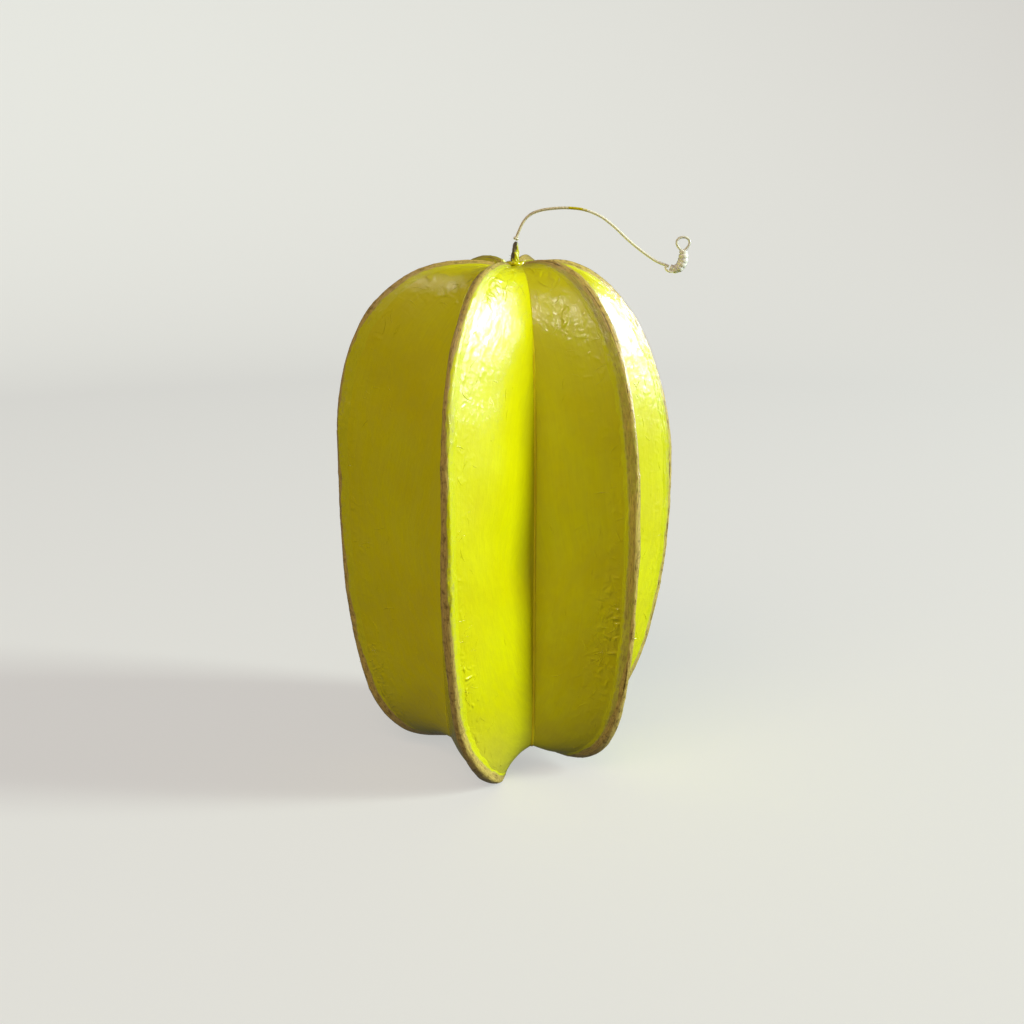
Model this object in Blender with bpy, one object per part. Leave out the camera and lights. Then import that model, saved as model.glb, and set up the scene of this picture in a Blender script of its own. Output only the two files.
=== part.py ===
"""Star fruit ornament in papier-mache, as separate pieces.

Six hollow lobes stand round one axis. Each lobe is two thin card panels, which meet on the lobe's
ridge under a folded paper edge strip and meet the neighbouring lobes' panels in the valleys. A
twisted paper stub on the crown holds a stiff hanging wire that ends in a taped wire eyelet, and a
toggle inside the body takes the wire's pull.

Metres, +Z up. The fruit stands on the lower ends of four lobes, at z = 0.
"""

import math
from collections import namedtuple

import bmesh
import bpy
from mathutils import Vector

MM = 0.001

# Where the fruit's axis stands, so that the origin is under the middle of the body's box
AXIS = Vector((-0.48, 3.91, 0.0)) * MM

# Crown and base, where all ridges and valleys come together
CROWN_LEAN = 3.5 * MM           # the crown's middle is this far to the right of the base's
PIT_Z = 291.0 * MM              # bottom of the shallow pit round the stub
CREST_RADIUS = 25.0 * MM        # a ridge is highest this far from the axis
BASE_Z = 27.0 * MM              # roof of the hollow between the feet
FOOT_FLAT = 10.0 * MM           # length of the pressed flat under each lobe

# Valleys, the same between all lobes
VALLEY_CREST = (12.0 * MM, PIT_Z)       # radius and height
VALLEY_BELLY = (55.0 * MM, 125.0 * MM)
VALLEY_FOOT = (48.0 * MM, 19.0 * MM)
VALLEY_CROWN_POWER = 2.8
VALLEY_FOOT_POWER = 3.5
VALLEY_TURN = {"left": 5.5}             # degrees off midway, of the valley right of a lobe

# Panels
CARD = 2.5 * MM                 # wall at the valleys
RIDGE_WALL = 5.4 * MM           # the same wall measured along the lobe's middle plane at the ridge
EDGE_HALF = 2.4 * MM            # half the width of a lobe's blunt edge, over the strip
EDGE_TAPER = 0.34               # the blunt edge narrows with the radius near the axis
BELLY_BULGE = 1.2 * MM          # how far a panel's middle stands out
FILLET_DIP = 2.6 * MM           # how far a right panel falls in before it turns up to the valley
FIT_GAP = 0.3 * MM              # glued pieces keep this gap

# Edge strips
STRIP = 0.8 * MM                # paper thickness, several layers
STRIP_FLANGE = 8.0 * MM         # how far a strip reaches down each panel

# Stations along a lobe: crown dip 0-1, upper quarter 1-2, lower quarter 2-3, flat foot 3-4,
# underside 4-5. A strip has the same stations as its panels but for the first and the last.
LAST_STATION = 5.0
PANEL_START = 0.30
PANEL_END = 4.96
STATIONS_PER_SPAN = (4, 9, 9, 1, 5)
ACROSS = (0.16, 0.45, 0.75, 1.0)    # panel columns, from the ridge's corner to the valley

# Stub, its ring and the pieces inside
STUB_FOOT = Vector((3.4, 0.0, 276.0)) * MM
STUB_TOP = Vector((5.4, 0.0, 304.0)) * MM
STUB_RADII = (2.2 * MM, 2.5 * MM, 2.3 * MM, 1.7 * MM, 1.3 * MM)
RING_RADIUS = 4.6 * MM
RING_TUBE = 1.4 * MM
WASHER_RADIUS = 19.0 * MM
WASHER_HOLE = 3.2 * MM
WASHER_TOP_Z = 284.2 * MM
WASHER_THICK = 2.0 * MM
TOGGLE_RADIUS = 3.0 * MM
TOGGLE_LENGTH = 46.0 * MM
TOGGLE_Z = 270.0 * MM

# Hanging wire: a hand-bent route in the fruit's own X and Z, with a little drift in Y
WIRE_RADIUS = 0.8 * MM
WIRE_ROUTE = [
    Vector(p) * MM
    for p in (
        (5.5, 0.0, 305.9), (7.1, 0.0, 309.8), (9.6, -0.2, 314.8), (13.4, -0.4, 318.8),
        (19.4, -0.8, 321.2), (27.5, -1.4, 322.3), (35.9, -2.0, 322.4), (44.4, -2.6, 321.2),
        (52.8, -3.2, 317.8), (60.4, -3.8, 312.2), (68.1, -4.4, 305.0), (75.9, -4.9, 298.6),
        (84.0, -5.4, 293.2), (91.4, -5.8, 289.0),
    )
]
TWIST_RADIUS = 1.5 * MM
TWIST_TUBE = 0.4 * MM
WRAP_ROUTE = [
    Vector(p) * MM
    for p in ((92.6, -6.0, 287.4), (95.4, -6.0, 287.0), (98.0, -6.0, 288.4), (99.6, -6.0, 291.4),
              (99.9, -6.0, 294.8), (99.9, -6.0, 297.4))
]
WRAP_RADII = (2.2 * MM, 3.0 * MM, 3.4 * MM, 3.5 * MM, 3.2 * MM, 2.2 * MM)
EYELET_WIRE = 0.5 * MM
EYELET_FOOT = Vector((100.0, -6.0, 297.9)) * MM
EYELET_HALF_WIDTH = 4.1 * MM
EYELET_HEIGHT = 7.6 * MM
FOLD_WIRE = 0.6 * MM

# A lobe's ridge: its turn round the axis in degrees, from the front (-Y) towards the right (+X),
# its reach from the axis and heights in millimetres, and how full its upper and lower ends are
# (2 is an ellipse's quarter, 3 a fuller one)
Lobe = namedtuple("Lobe", "name azimuth reach crest belly foot_radius foot crown_power foot_power")
LOBES = [
    Lobe("left", -88.0, 100.3, 293.0, 192.0, 42.0, 7.0, 2.35, 2.8),
    Lobe("front_left", -17.7, 112.0, 293.0, 187.5, 47.0, 0.0, 2.33, 2.35),
    Lobe("front_right", 46.4, 96.6, 294.0, 161.0, 40.0, 7.2, 2.05, 3.0),
    Lobe("right", 109.2, 104.0, 292.5, 158.0, 34.0, 0.0, 1.95, 2.1),
    Lobe("back_right", 164.0, 103.0, 294.5, 170.0, 50.0, 0.0, 2.0, 2.6),
    Lobe("back_left", 212.0, 104.0, 294.5, 165.0, 48.0, 0.0, 2.1, 2.6),
]

# sRGB colour, roughness and metallic value of each finish
FINISHES = {
    "gloss_lemon_paint": ((0.83, 0.87, 0.02), 0.28, 0.0),
    "brown_edge_paper": ((0.56, 0.46, 0.28), 0.55, 0.0),
    "plain_card": ((0.62, 0.53, 0.38), 0.85, 0.0),
    "twisted_paper": ((0.60, 0.60, 0.16), 0.70, 0.0),
    "coated_wire": ((0.86, 0.84, 0.72), 0.45, 0.0),
    "white_tape": ((0.80, 0.81, 0.80), 0.60, 0.0),
    "tinned_wire": ((0.78, 0.79, 0.80), 0.30, 1.0),
    "birch_dowel": ((0.72, 0.60, 0.42), 0.70, 0.0),
}


# Outlines ------------------------------------------------------------------------------------

def quarter(turn, power, width, height):
    """Offsets on a quarter of a superellipse, from its tip (turn 0) to its side (turn 1)."""
    angle = turn * math.pi / 2
    across = width * math.sin(angle) ** (2 / power)
    along = height * math.cos(angle) ** (2 / power)
    return across, along


def ease(share):
    """Smooth step from 0 to 1 with flat ends."""
    return (1 - math.cos(math.pi * share)) / 2


def outline(station, crest, belly, foot, crown_power, foot_power):
    """Radius and height of a ridge or valley at a station from 0 (crown) to 5 (base).

    crest, belly and foot are (radius, height) where it is highest, widest and lowest.
    """
    span = min(int(station), int(LAST_STATION) - 1)
    share = station - span
    foot_end = foot[0] - FOOT_FLAT
    if span == 0:
        return crest[0] * share, PIT_Z + (crest[1] - PIT_Z) * ease(share)
    if span == 1:
        across, along = quarter(share, crown_power, belly[0] - crest[0], crest[1] - belly[1])
        return crest[0] + across, belly[1] + along
    if span == 2:
        across, along = quarter(1 - share, foot_power, belly[0] - foot[0], belly[1] - foot[1])
        return foot[0] + across, belly[1] - along
    if span == 3:
        return foot[0] - FOOT_FLAT * share, foot[1]
    return foot_end * (1 - share), foot[1] + (BASE_Z - foot[1]) * ease(share)


def ridge_outline(lobe, station):
    crest = (CREST_RADIUS, lobe.crest * MM)
    belly = (lobe.reach * MM, lobe.belly * MM)
    foot = (lobe.foot_radius * MM, lobe.foot * MM)
    return outline(station, crest, belly, foot, lobe.crown_power, lobe.foot_power)


def valley_outline(station):
    return outline(station, VALLEY_CREST, VALLEY_BELLY, VALLEY_FOOT,
                   VALLEY_CROWN_POWER, VALLEY_FOOT_POWER)


def outward(azimuth):
    angle = math.radians(azimuth)
    return Vector((math.sin(angle), -math.cos(angle), 0.0))


def sideways(azimuth):
    angle = math.radians(azimuth)
    return Vector((math.cos(angle), math.sin(angle), 0.0))


def axis_point(height):
    """The fruit's axis at a height: it leans a little to the right towards the crown."""
    lean = CROWN_LEAN * (height / PIT_Z) ** 2
    return Vector((lean, 0.0, height))


def plane_point(profile, azimuth, station, drop):
    """A point of an outline in its own upright plane, moved in by drop along its normal."""
    step = 0.01
    radius, height = profile(station)
    before = profile(max(station - step, 0.0))
    after = profile(min(station + step, LAST_STATION))
    run, rise = after[0] - before[0], after[1] - before[1]
    length = math.hypot(run, rise)
    radius += drop * rise / length
    height -= drop * run / length
    return axis_point(height) + outward(azimuth) * radius


def ridge_point(lobe, station, drop=0.0):
    return plane_point(lambda s: ridge_outline(lobe, s), lobe.azimuth, station, drop)


def valley_azimuth(index, side):
    """Azimuth of the valley beside a lobe: side is -1 on its left, +1 on its right."""
    here = LOBES[index].azimuth
    other = LOBES[(index + side) % len(LOBES)].azimuth
    turn = (other - here) * side % 360.0
    left_lobe = LOBES[index if side > 0 else (index - 1) % len(LOBES)]
    return here + side * turn / 2 + VALLEY_TURN.get(left_lobe.name, 0.0)


def edge_half(lobe, station, inset):
    """Half the width of the blunt edge at a station, less an inset."""
    radius = ridge_outline(lobe, station)[0]
    return min(EDGE_HALF - inset, EDGE_TAPER * radius)


def panel_frame(index, side, station, drop=0.0, inset=0.0):
    """Corner at the ridge, end at the valley, and outward normal of one panel at a station."""
    lobe = LOBES[index]
    azimuth = valley_azimuth(index, side)
    shift = sideways(azimuth) * (-side * FIT_GAP / 2)

    def corner(at, ridge_drop):
        half = edge_half(lobe, at, inset)
        return ridge_point(lobe, at, ridge_drop) + sideways(lobe.azimuth) * side * half

    def end(at, valley_drop):
        return plane_point(valley_outline, azimuth, at, valley_drop) + shift

    step = 0.02
    low, high = max(station - step, 0.0), min(station + step, LAST_STATION)
    run = (corner(high, 0.0) + end(high, 0.0)) - (corner(low, 0.0) + end(low, 0.0))
    reach = end(station, 0.0) - corner(station, 0.0)
    normal = run.cross(reach).normalized() * side
    return corner(station, drop), end(station, 0.0), normal


def face_offset(share, side, length):
    """How far a panel's face stands off the straight line from ridge to valley."""
    scale = min(length / (60.0 * MM), 1.0)
    bulge = BELLY_BULGE * math.sin(math.pi * min(share / 0.8, 1.0))
    dip = 0.0
    if side > 0:
        dip = FILLET_DIP * math.sin(math.pi * max(share - 0.5, 0.0) / 0.5) ** 2
    return (bulge - dip) * scale


# Mesh building -------------------------------------------------------------------------------

def finish_material(name):
    colour, roughness, metallic = FINISHES[name]
    material = bpy.data.materials.get(name) or bpy.data.materials.new(name)
    material.use_nodes = True
    shader = material.node_tree.nodes["Principled BSDF"]
    shader.inputs["Base Color"].default_value = (*[to_linear(c) for c in colour], 1.0)
    shader.inputs["Roughness"].default_value = roughness
    shader.inputs["Metallic"].default_value = metallic
    material.diffuse_color = (*colour, 1.0)
    return material


def to_linear(channel):
    if channel <= 0.04045:
        return channel / 12.92
    return ((channel + 0.055) / 1.055) ** 2.4


def add_object(name, data, finish, parent):
    data.materials.append(finish_material(finish))
    piece = bpy.data.objects.new(name, data)
    bpy.context.scene.collection.objects.link(piece)
    piece.parent = parent
    return piece


def loft(name, loops, finish, parent, closed=False, sharp=40.0):
    """A solid through equal loops of points; the ends are capped unless the loft is closed."""
    mesh = bmesh.new()
    rows = [[mesh.verts.new(point) for point in loop] for loop in loops]
    count = len(rows[0])
    pairs = list(zip(rows, rows[1:]))
    if closed:
        pairs.append((rows[-1], rows[0]))
    for upper, lower in pairs:
        for i in range(count):
            j = (i + 1) % count
            mesh.faces.new((upper[i], upper[j], lower[j], lower[i]))
    if not closed:
        mesh.faces.new(list(reversed(rows[0])))
        mesh.faces.new(rows[-1])
    bmesh.ops.recalc_face_normals(mesh, faces=mesh.faces)
    bmesh.ops.triangulate(mesh, faces=mesh.faces)
    data = bpy.data.meshes.new(name)
    mesh.to_mesh(data)
    mesh.free()
    data.shade_smooth()
    data.set_sharp_from_angle(angle=math.radians(sharp))
    return add_object(name, data, finish, parent)


def stations():
    """Stations along a lobe, evenly spaced in each of its spans."""
    values = []
    for span, count in enumerate(STATIONS_PER_SPAN):
        low, high = max(PANEL_START, span), min(PANEL_END, span + 1)
        values += [low + (high - low) * i / count for i in range(count)]
    return values + [PANEL_END]


def circle(centre, direction, radius, count, turn=0.0):
    """Points round a centre, square to a direction."""
    first = direction.orthogonal().normalized()
    second = direction.cross(first).normalized()
    angles = [turn + 2 * math.pi * i / count for i in range(count)]
    return [centre + (first * math.cos(a) + second * math.sin(a)) * radius for a in angles]


def smooth_curve(points, share):
    """A point of the Catmull-Rom curve through points, at a share from 0 to 1 of its way."""
    place = share * (len(points) - 1)
    i = min(int(place), len(points) - 2)
    u = place - i
    p1, p2 = points[i], points[i + 1]
    p0 = points[i - 1] if i > 0 else p1 * 2 - p2
    p3 = points[i + 2] if i + 2 < len(points) else p2 * 2 - p1
    return 0.5 * (2 * p1 + (p2 - p0) * u + (2 * p0 - 5 * p1 + 4 * p2 - p3) * u ** 2
                  + (3 * p1 - p0 - 3 * p2 + p3) * u ** 3)


def tube(name, points, radii, sides, finish, parent):
    """A capped tube along points, with one radius for each point."""
    loops = []
    first = None
    for i, (point, radius) in enumerate(zip(points, radii)):
        ahead = points[min(i + 1, len(points) - 1)] - points[max(i - 1, 0)]
        ahead.normalize()
        first = ahead.orthogonal() if first is None else first - ahead * first.dot(ahead)
        first.normalize()
        second = ahead.cross(first)
        angles = [2 * math.pi * k / sides for k in range(sides)]
        loops.append([point + (first * math.cos(a) + second * math.sin(a)) * radius for a in angles])
    return loft(name, loops, finish, parent, sharp=60.0)


def ring(name, centre, direction, radius, tube_radius, count, sides, finish, parent):
    """A closed round ring of round wire or paper."""
    direction = direction.normalized()
    loops = []
    for centre_point in circle(centre, direction, radius, count):
        away = (centre_point - centre).normalized()
        angles = [2 * math.pi * k / sides for k in range(sides)]
        loops.append([centre_point + (away * math.cos(a) + direction * math.sin(a)) * tube_radius
                      for a in angles])
    return loft(name, loops, finish, parent, closed=True, sharp=60.0)


# Lobes ---------------------------------------------------------------------------------------

def panel(index, side, parent):
    """One card panel: a bent sheet from the lobe's middle plane over the ridge to the valley."""
    lobe = LOBES[index]
    under_strip = STRIP + FIT_GAP
    seam = sideways(lobe.azimuth) * side * FIT_GAP / 2
    azimuth = valley_azimuth(index, side)
    valley_shift = sideways(azimuth) * (-side * FIT_GAP / 2)
    loops = []
    for station in stations():
        corner, end, normal = panel_frame(index, side, station, under_strip, under_strip)
        length = (end - corner).length
        offsets = [normal * face_offset(share, side, length) for share in ACROSS]
        outer = [ridge_point(lobe, station, under_strip) + seam, corner]
        outer += [corner.lerp(end, share) + offset for share, offset in zip(ACROSS, offsets)]
        inner_ridge = ridge_point(lobe, station, under_strip + RIDGE_WALL) + seam
        inner_end = plane_point(valley_outline, azimuth, station, CARD) + valley_shift
        inner = [inner_ridge]
        inner += [inner_ridge.lerp(inner_end, share) + offset for share, offset in zip(ACROSS, offsets)]
        loops.append(outer + list(reversed(inner)))
    name = f"{lobe.name}_lobe_{'right' if side > 0 else 'left'}_panel"
    return loft(name, loops, "gloss_lemon_paint", parent, sharp=50.0)


def flange_end(index, side, station, lift):
    """A point of a panel's face at the strip's border, lifted off the face."""
    under_strip = STRIP + FIT_GAP
    corner, end, normal = panel_frame(index, side, station, under_strip, under_strip)
    length = (end - corner).length
    share = min(STRIP_FLANGE / length, 0.45)
    return corner.lerp(end, share) + normal * (face_offset(share, side, length) + lift)


def edge_strip(index, parent):
    """The paper folded over a lobe's ridge, pressed flat where the lobe stands."""
    lobe = LOBES[index]
    across = sideways(lobe.azimuth)
    loops = []
    for station in stations()[1:-1]:
        outer_half = edge_half(lobe, station, 0.0) + FIT_GAP
        inner_half = edge_half(lobe, station, STRIP + FIT_GAP) + FIT_GAP
        crest = ridge_point(lobe, station)
        under = ridge_point(lobe, station, STRIP)
        loop = [flange_end(index, -1, station, FIT_GAP + STRIP)]
        loop += [crest - across * outer_half, crest + across * outer_half]
        loop += [flange_end(index, 1, station, FIT_GAP + STRIP), flange_end(index, 1, station, FIT_GAP)]
        loop += [under + across * inner_half, under - across * inner_half]
        loop += [flange_end(index, -1, station, FIT_GAP)]
        for point in loop[:4]:
            point.z = max(point.z, 0.0)
        loops.append(loop)
    return loft(f"{lobe.name}_lobe_edge_strip", loops, "brown_edge_paper", parent, sharp=35.0)


# Crown and inside ----------------------------------------------------------------------------

def stub_point(height):
    """The stub's middle line at a height."""
    return STUB_FOOT.lerp(STUB_TOP, (height - STUB_FOOT.z) / (STUB_TOP.z - STUB_FOOT.z))


def stub(parent):
    """The twisted paper peg, from inside the crown to the wire."""
    points = [STUB_FOOT.lerp(STUB_TOP, i / (len(STUB_RADII) - 1)) for i in range(len(STUB_RADII))]
    return tube("stub", points, STUB_RADII, 10, "twisted_paper", parent)


def crown_ring(parent):
    """The paper collar that closes the crown round the stub."""
    centre = stub_point(PIT_Z + RING_TUBE + 2 * FIT_GAP)
    return ring("crown_ring", centre, Vector((0, 0, 1)), RING_RADIUS, RING_TUBE, 16, 8,
                "gloss_lemon_paint", parent)


def crown_washer(parent):
    """The card disc under the crown, with a hole for the stub."""
    centre = stub_point(WASHER_TOP_Z)
    low = centre - Vector((0, 0, WASHER_THICK))
    up = Vector((0, 0, 1))
    count = 20
    profile = [circle(low, up, WASHER_HOLE, count), circle(low, up, WASHER_RADIUS, count),
               circle(centre, up, WASHER_RADIUS, count), circle(centre, up, WASHER_HOLE, count)]
    return loft("crown_washer", profile, "plain_card", parent, closed=True)


def toggle(parent):
    """The short stick that keeps the wire from pulling out."""
    centre = stub_point(TOGGLE_Z)
    half = Vector((TOGGLE_LENGTH / 2, 0, 0))
    points = [centre - half, centre + half]
    return tube("toggle", points, (TOGGLE_RADIUS, TOGGLE_RADIUS), 12, "birch_dowel", parent)


def anchor_wire(parent):
    """The wire's inner end: one turn round the toggle, under the stub."""
    centre = stub_point(TOGGLE_Z)
    radius = TOGGLE_RADIUS + WIRE_RADIUS + FIT_GAP
    return ring("anchor_wire", centre, Vector((1, 0, 0)), radius, WIRE_RADIUS, 16, 8,
                "coated_wire", parent)


# Wire and its end ----------------------------------------------------------------------------

def wire_twist(parent):
    """The small turn of wire that grips the top of the stub."""
    direction = Vector((0.35, 0.15, 1.0))
    centre = STUB_TOP + Vector((0.2, 0.0, 1.6)) * MM
    return ring("wire_twist", centre, direction, TWIST_RADIUS, TWIST_TUBE, 14, 8, "coated_wire", parent)


def hanging_wire(parent):
    """The bent wire, as one swept curve."""
    count = 30
    curve = bpy.data.curves.new("hanging_wire", "CURVE")
    curve.dimensions = "3D"
    curve.bevel_depth = WIRE_RADIUS
    curve.bevel_resolution = 2
    curve.use_fill_caps = True
    spline = curve.splines.new("POLY")
    spline.points.add(count - 1)
    for i, point in enumerate(spline.points):
        point.co = (*smooth_curve(WIRE_ROUTE, i / (count - 1)), 1.0)
    return add_object("hanging_wire", curve, "coated_wire", parent)


def tape_wrap(parent):
    """The bent bundle of tape that binds wire and eyelet."""
    count = 13
    points = [smooth_curve(WRAP_ROUTE, i / (count - 1)) for i in range(count)]
    sizes = [Vector((radius, 0, 0)) for radius in WRAP_RADII]
    radii = [smooth_curve(sizes, i / (count - 1)).x for i in range(count)]
    return tube("tape_wrap", points, radii, 12, "white_tape", parent)


def eyelet(parent):
    """The teardrop loop of thin wire at the very end."""
    count = 24
    points = []
    for i in range(count):
        angle = 2 * math.pi * i / count
        narrow = 0.62 + 0.38 * math.sin(angle / 2) ** 2
        width = EYELET_HALF_WIDTH * math.sin(angle) * narrow
        height = EYELET_HEIGHT / 2 * (1 - math.cos(angle))
        points.append(EYELET_FOOT + Vector((-width, 0, height + EYELET_WIRE)))
    loops = []
    for i, point in enumerate(points):
        ahead = (points[(i + 1) % count] - points[i - 1]).normalized()
        away = ahead.cross(Vector((0, 1, 0)))
        angles = [2 * math.pi * k / 8 for k in range(8)]
        loops.append([point + (away * math.cos(a) + Vector((0, 1, 0)) * math.sin(a)) * EYELET_WIRE
                      for a in angles])
    return loft("eyelet", loops, "tinned_wire", parent, closed=True, sharp=60.0)


def wire_fold(parent):
    """The wire's cut end, turned back beside the wrap."""
    route = [Vector(p) * MM for p in ((93.2, -8.9, 291.0), (91.6, -8.7, 291.6), (90.4, -8.5, 290.6),
                                      (90.6, -8.5, 288.9), (92.2, -8.9, 288.2))]
    count = 11
    points = [smooth_curve(route, i / (count - 1)) for i in range(count)]
    return tube("wire_fold", points, [FOLD_WIRE] * count, 8, "coated_wire", parent)


def build():
    for old in list(bpy.data.objects):
        bpy.data.objects.remove(old)
    root = bpy.data.objects.new("star_fruit", None)
    root.location = AXIS
    bpy.context.scene.collection.objects.link(root)
    for index in range(len(LOBES)):
        panel(index, -1, root)
        panel(index, 1, root)
        edge_strip(index, root)
    for make in (crown_ring, stub, crown_washer, toggle, anchor_wire, wire_twist, hanging_wire,
                 tape_wrap, eyelet, wire_fold):
        make(root)


build()
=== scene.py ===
"""Looks of the papier-mache star fruit ornament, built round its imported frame.

Every visible piece gets a fine mesh that stands for its plain CAD node: card panels with the soft
dents of hand-laid paper, brown paper folded over the lobes' edges, glue seams in the valleys, a
twisted paper stub, and a bent wire with a taped wire eyelet. Metres, +Z up.
"""

import math
from collections import namedtuple

import bmesh
import bpy
import numpy as np
from mathutils import Matrix, Vector, noise


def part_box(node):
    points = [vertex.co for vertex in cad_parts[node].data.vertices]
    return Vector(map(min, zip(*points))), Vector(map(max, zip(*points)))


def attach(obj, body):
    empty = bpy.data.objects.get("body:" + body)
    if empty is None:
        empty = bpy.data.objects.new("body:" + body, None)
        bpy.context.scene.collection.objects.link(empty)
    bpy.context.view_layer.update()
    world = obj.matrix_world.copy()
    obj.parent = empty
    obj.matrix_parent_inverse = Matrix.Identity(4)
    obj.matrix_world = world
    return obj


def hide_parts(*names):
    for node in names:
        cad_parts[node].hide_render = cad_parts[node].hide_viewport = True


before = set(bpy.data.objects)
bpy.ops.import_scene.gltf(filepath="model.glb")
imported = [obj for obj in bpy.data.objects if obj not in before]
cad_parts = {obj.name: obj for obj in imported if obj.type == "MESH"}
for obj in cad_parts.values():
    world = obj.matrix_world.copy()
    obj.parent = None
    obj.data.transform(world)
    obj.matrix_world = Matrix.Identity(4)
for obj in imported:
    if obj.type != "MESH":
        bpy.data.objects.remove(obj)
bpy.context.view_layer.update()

MM = 0.001

# Crown and base, as in the frame
CROWN_LEAN = 3.5 * MM
PIT_Z = 291.0 * MM
CREST_RADIUS = 25.0 * MM
BASE_Z = 27.0 * MM
FOOT_FLAT = 10.0 * MM
VALLEY_CREST = (12.0 * MM, PIT_Z)
VALLEY_BELLY = (55.0 * MM, 125.0 * MM)
VALLEY_FOOT = (48.0 * MM, 19.0 * MM)
VALLEY_CROWN_POWER = 2.8
VALLEY_FOOT_POWER = 3.5
# Degrees off midway, of the valley to the right of a lobe
VALLEY_TURN = {"left": 9.0}

# Panels and edge strips
CARD = 2.5 * MM
RIDGE_WALL = 5.4 * MM
EDGE_HALF = 2.4 * MM
EDGE_TAPER = 0.34
BELLY_BULGE = 0.8 * MM
RIGHT_DISH = 1.8 * MM
DISH_FULL_WIDTH = 60.0 * MM
UNDER_STRIP = 1.1 * MM
STRIP_FLANGE = 8.0 * MM
PANEL_START, PANEL_END = 0.16, 4.99
STRIP_START, STRIP_END = 0.42, 4.85
EDGE_ROUND = 1.0 * MM
# How much wider the folds are at the feet, the station where that is most, and its span
FOOT_SPREAD, FOOT_STATION, FOOT_SPAN = 1.1, 3.1, 0.45

# Stub and wire
STUB_FOOT = Vector((3.4, 0.0, 276.0)) * MM
STUB_TOP = Vector((5.4, 0.0, 304.0)) * MM
STUB_RADII = (2.2, 2.6, 2.5, 2.15, 1.15)
RING_RADIUS = 4.2 * MM
WIRE_RADIUS = 0.8 * MM
EYELET_RADIUS = 0.72 * MM

# A lobe's ridge: its turn round the axis in degrees, from the front (-Y) towards the right (+X), its
# reach and heights in millimetres, and how full its upper and lower ends are
Lobe = namedtuple("Lobe", "name azimuth reach crest belly foot_radius foot crown_power foot_power")
LOBES = [
    Lobe("left", -88.0, 100.3, 293.0, 192.0, 42.0, 7.0, 2.35, 2.8),
    Lobe("front_left", -17.7, 112.0, 293.0, 187.5, 47.0, 0.0, 2.33, 2.35),
    Lobe("front_right", 46.4, 96.6, 294.0, 161.0, 40.0, 7.2, 2.05, 3.0),
    Lobe("right", 109.2, 104.0, 292.5, 158.0, 34.0, 0.0, 1.95, 2.1),
    Lobe("back_right", 164.0, 103.0, 294.5, 170.0, 50.0, 0.0, 2.0, 2.6),
    Lobe("back_left", 212.0, 104.0, 294.5, 165.0, 48.0, 0.0, 2.1, 2.6),
]

# The lobe whose foot sagged as it dried: its turn to the right in degrees, and how far the sag
# reaches round the axis in degrees and up
SAG_LOBE = LOBES[1]
SAG_TURN, SAG_REACH, SAG_HEIGHT = 9.0, 32.0, 45.0 * MM

# How far bare brown paper reaches from each ridge, left and right in millimetres, and how much of it
# shows through the paint beyond: 0 is full paint, 1 is none, and more than 1 is a dark painted shade line
SHADE_LINE_BARENESS = 1.5
Wear = namedtuple("Wear", "left right wash_left wash_right")
WEAR = {
    "left": Wear(1.6, 2.6, 0.15, 0.14),
    "front_left": Wear(2.6, 0.4, 0.2, 0.22),
    "front_right": Wear(1.2, 1.0, 0.60, 0.2),
    "right": Wear(3.4, 1.8, 0.2, 0.2),
    "back_right": Wear(7.0, 7.0, 0.6, 0.6),
    "back_left": Wear(-2.5, -2.5, 0.25, 0.4),
}

# Where the wet paper gathered into creases as the strips were pulled round: the panel, its middle's
# height and distance from the ridge, how far it reaches along and across, and how dense it is
Gather = namedtuple("Gather", "lobe side height across tall wide density")
GATHERS = [
    Gather("front_right", -1, 90.0, 14.0, 30.0, 12.0, 2.2),
    Gather("front_right", -1, 264.0, 18.0, 12.0, 9.0, 0.9),
    Gather("left", 1, 50.0, 9.0, 18.0, 8.0, 2.6),
    Gather("left", 1, 280.0, 38.0, 7.0, 14.0, 2.0),
    Gather("front_left", 1, 280.0, 14.0, 8.0, 9.0, 2.2),
    Gather("front_left", 1, 70.0, 11.0, 22.0, 6.0, 2.0),
]

# How fine the meshes are
PANEL_ROWS, PANEL_COLUMNS, INNER_COLUMNS = 300, 64, 6
STRIP_ROWS, STRIP_COLUMNS, STRIP_INNER = 440, 41, 7


def stub_middle(height):
    """The stub's middle line at a height, before the fruit's axis is placed."""
    return STUB_FOOT.lerp(STUB_TOP, (height - STUB_FOOT.z) / (STUB_TOP.z - STUB_FOOT.z))


def middle(node):
    """The middle of a CAD node's box."""
    low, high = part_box(node)
    return (low + high) / 2


# The fruit's own axis in the frame, found from the washer that is centred under the stub
washer = middle("crown_washer")
AXIS = washer - stub_middle(washer.z)
AXIS.z = 0.0


# Materials -----------------------------------------------------------------------------------

def colour(code):
    """sRGB hex to a linear colour with alpha."""
    channels = [int(code[i:i + 2], 16) / 255 for i in (1, 3, 5)]
    linear = [c / 12.92 if c <= 0.04045 else ((c + 0.055) / 1.055) ** 2.4 for c in channels]
    return (*linear, 1.0)


def connect(tree, node, inputs):
    """Gives a node's sockets, by name or number, a value, a hex colour, another socket, or a node
    whose first working output is meant."""
    for key, value in inputs.items():
        if isinstance(value, bpy.types.Node):
            value = next(socket for socket in value.outputs if socket.enabled)
        if isinstance(value, bpy.types.NodeSocket):
            tree.links.new(value, node.inputs[key])
        elif isinstance(value, str) and value.startswith("#"):
            node.inputs[key].default_value = colour(value)
        else:
            node.inputs[key].default_value = value


def add_node(tree, kind, inputs=None, stops=None, **settings):
    """Adds a node with its settings and inputs. stops are a colour ramp's positions and colours."""
    new = tree.nodes.new(kind)
    for key, value in settings.items():
        setattr(new, key, value)
    if stops:
        elements = new.color_ramp.elements
        while len(elements) < len(stops):
            elements.new(0.5)
        for element, (position, code) in zip(elements, stops):
            element.position = position
            element.color = colour(code)
    connect(tree, new, inputs or {})
    return new


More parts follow.
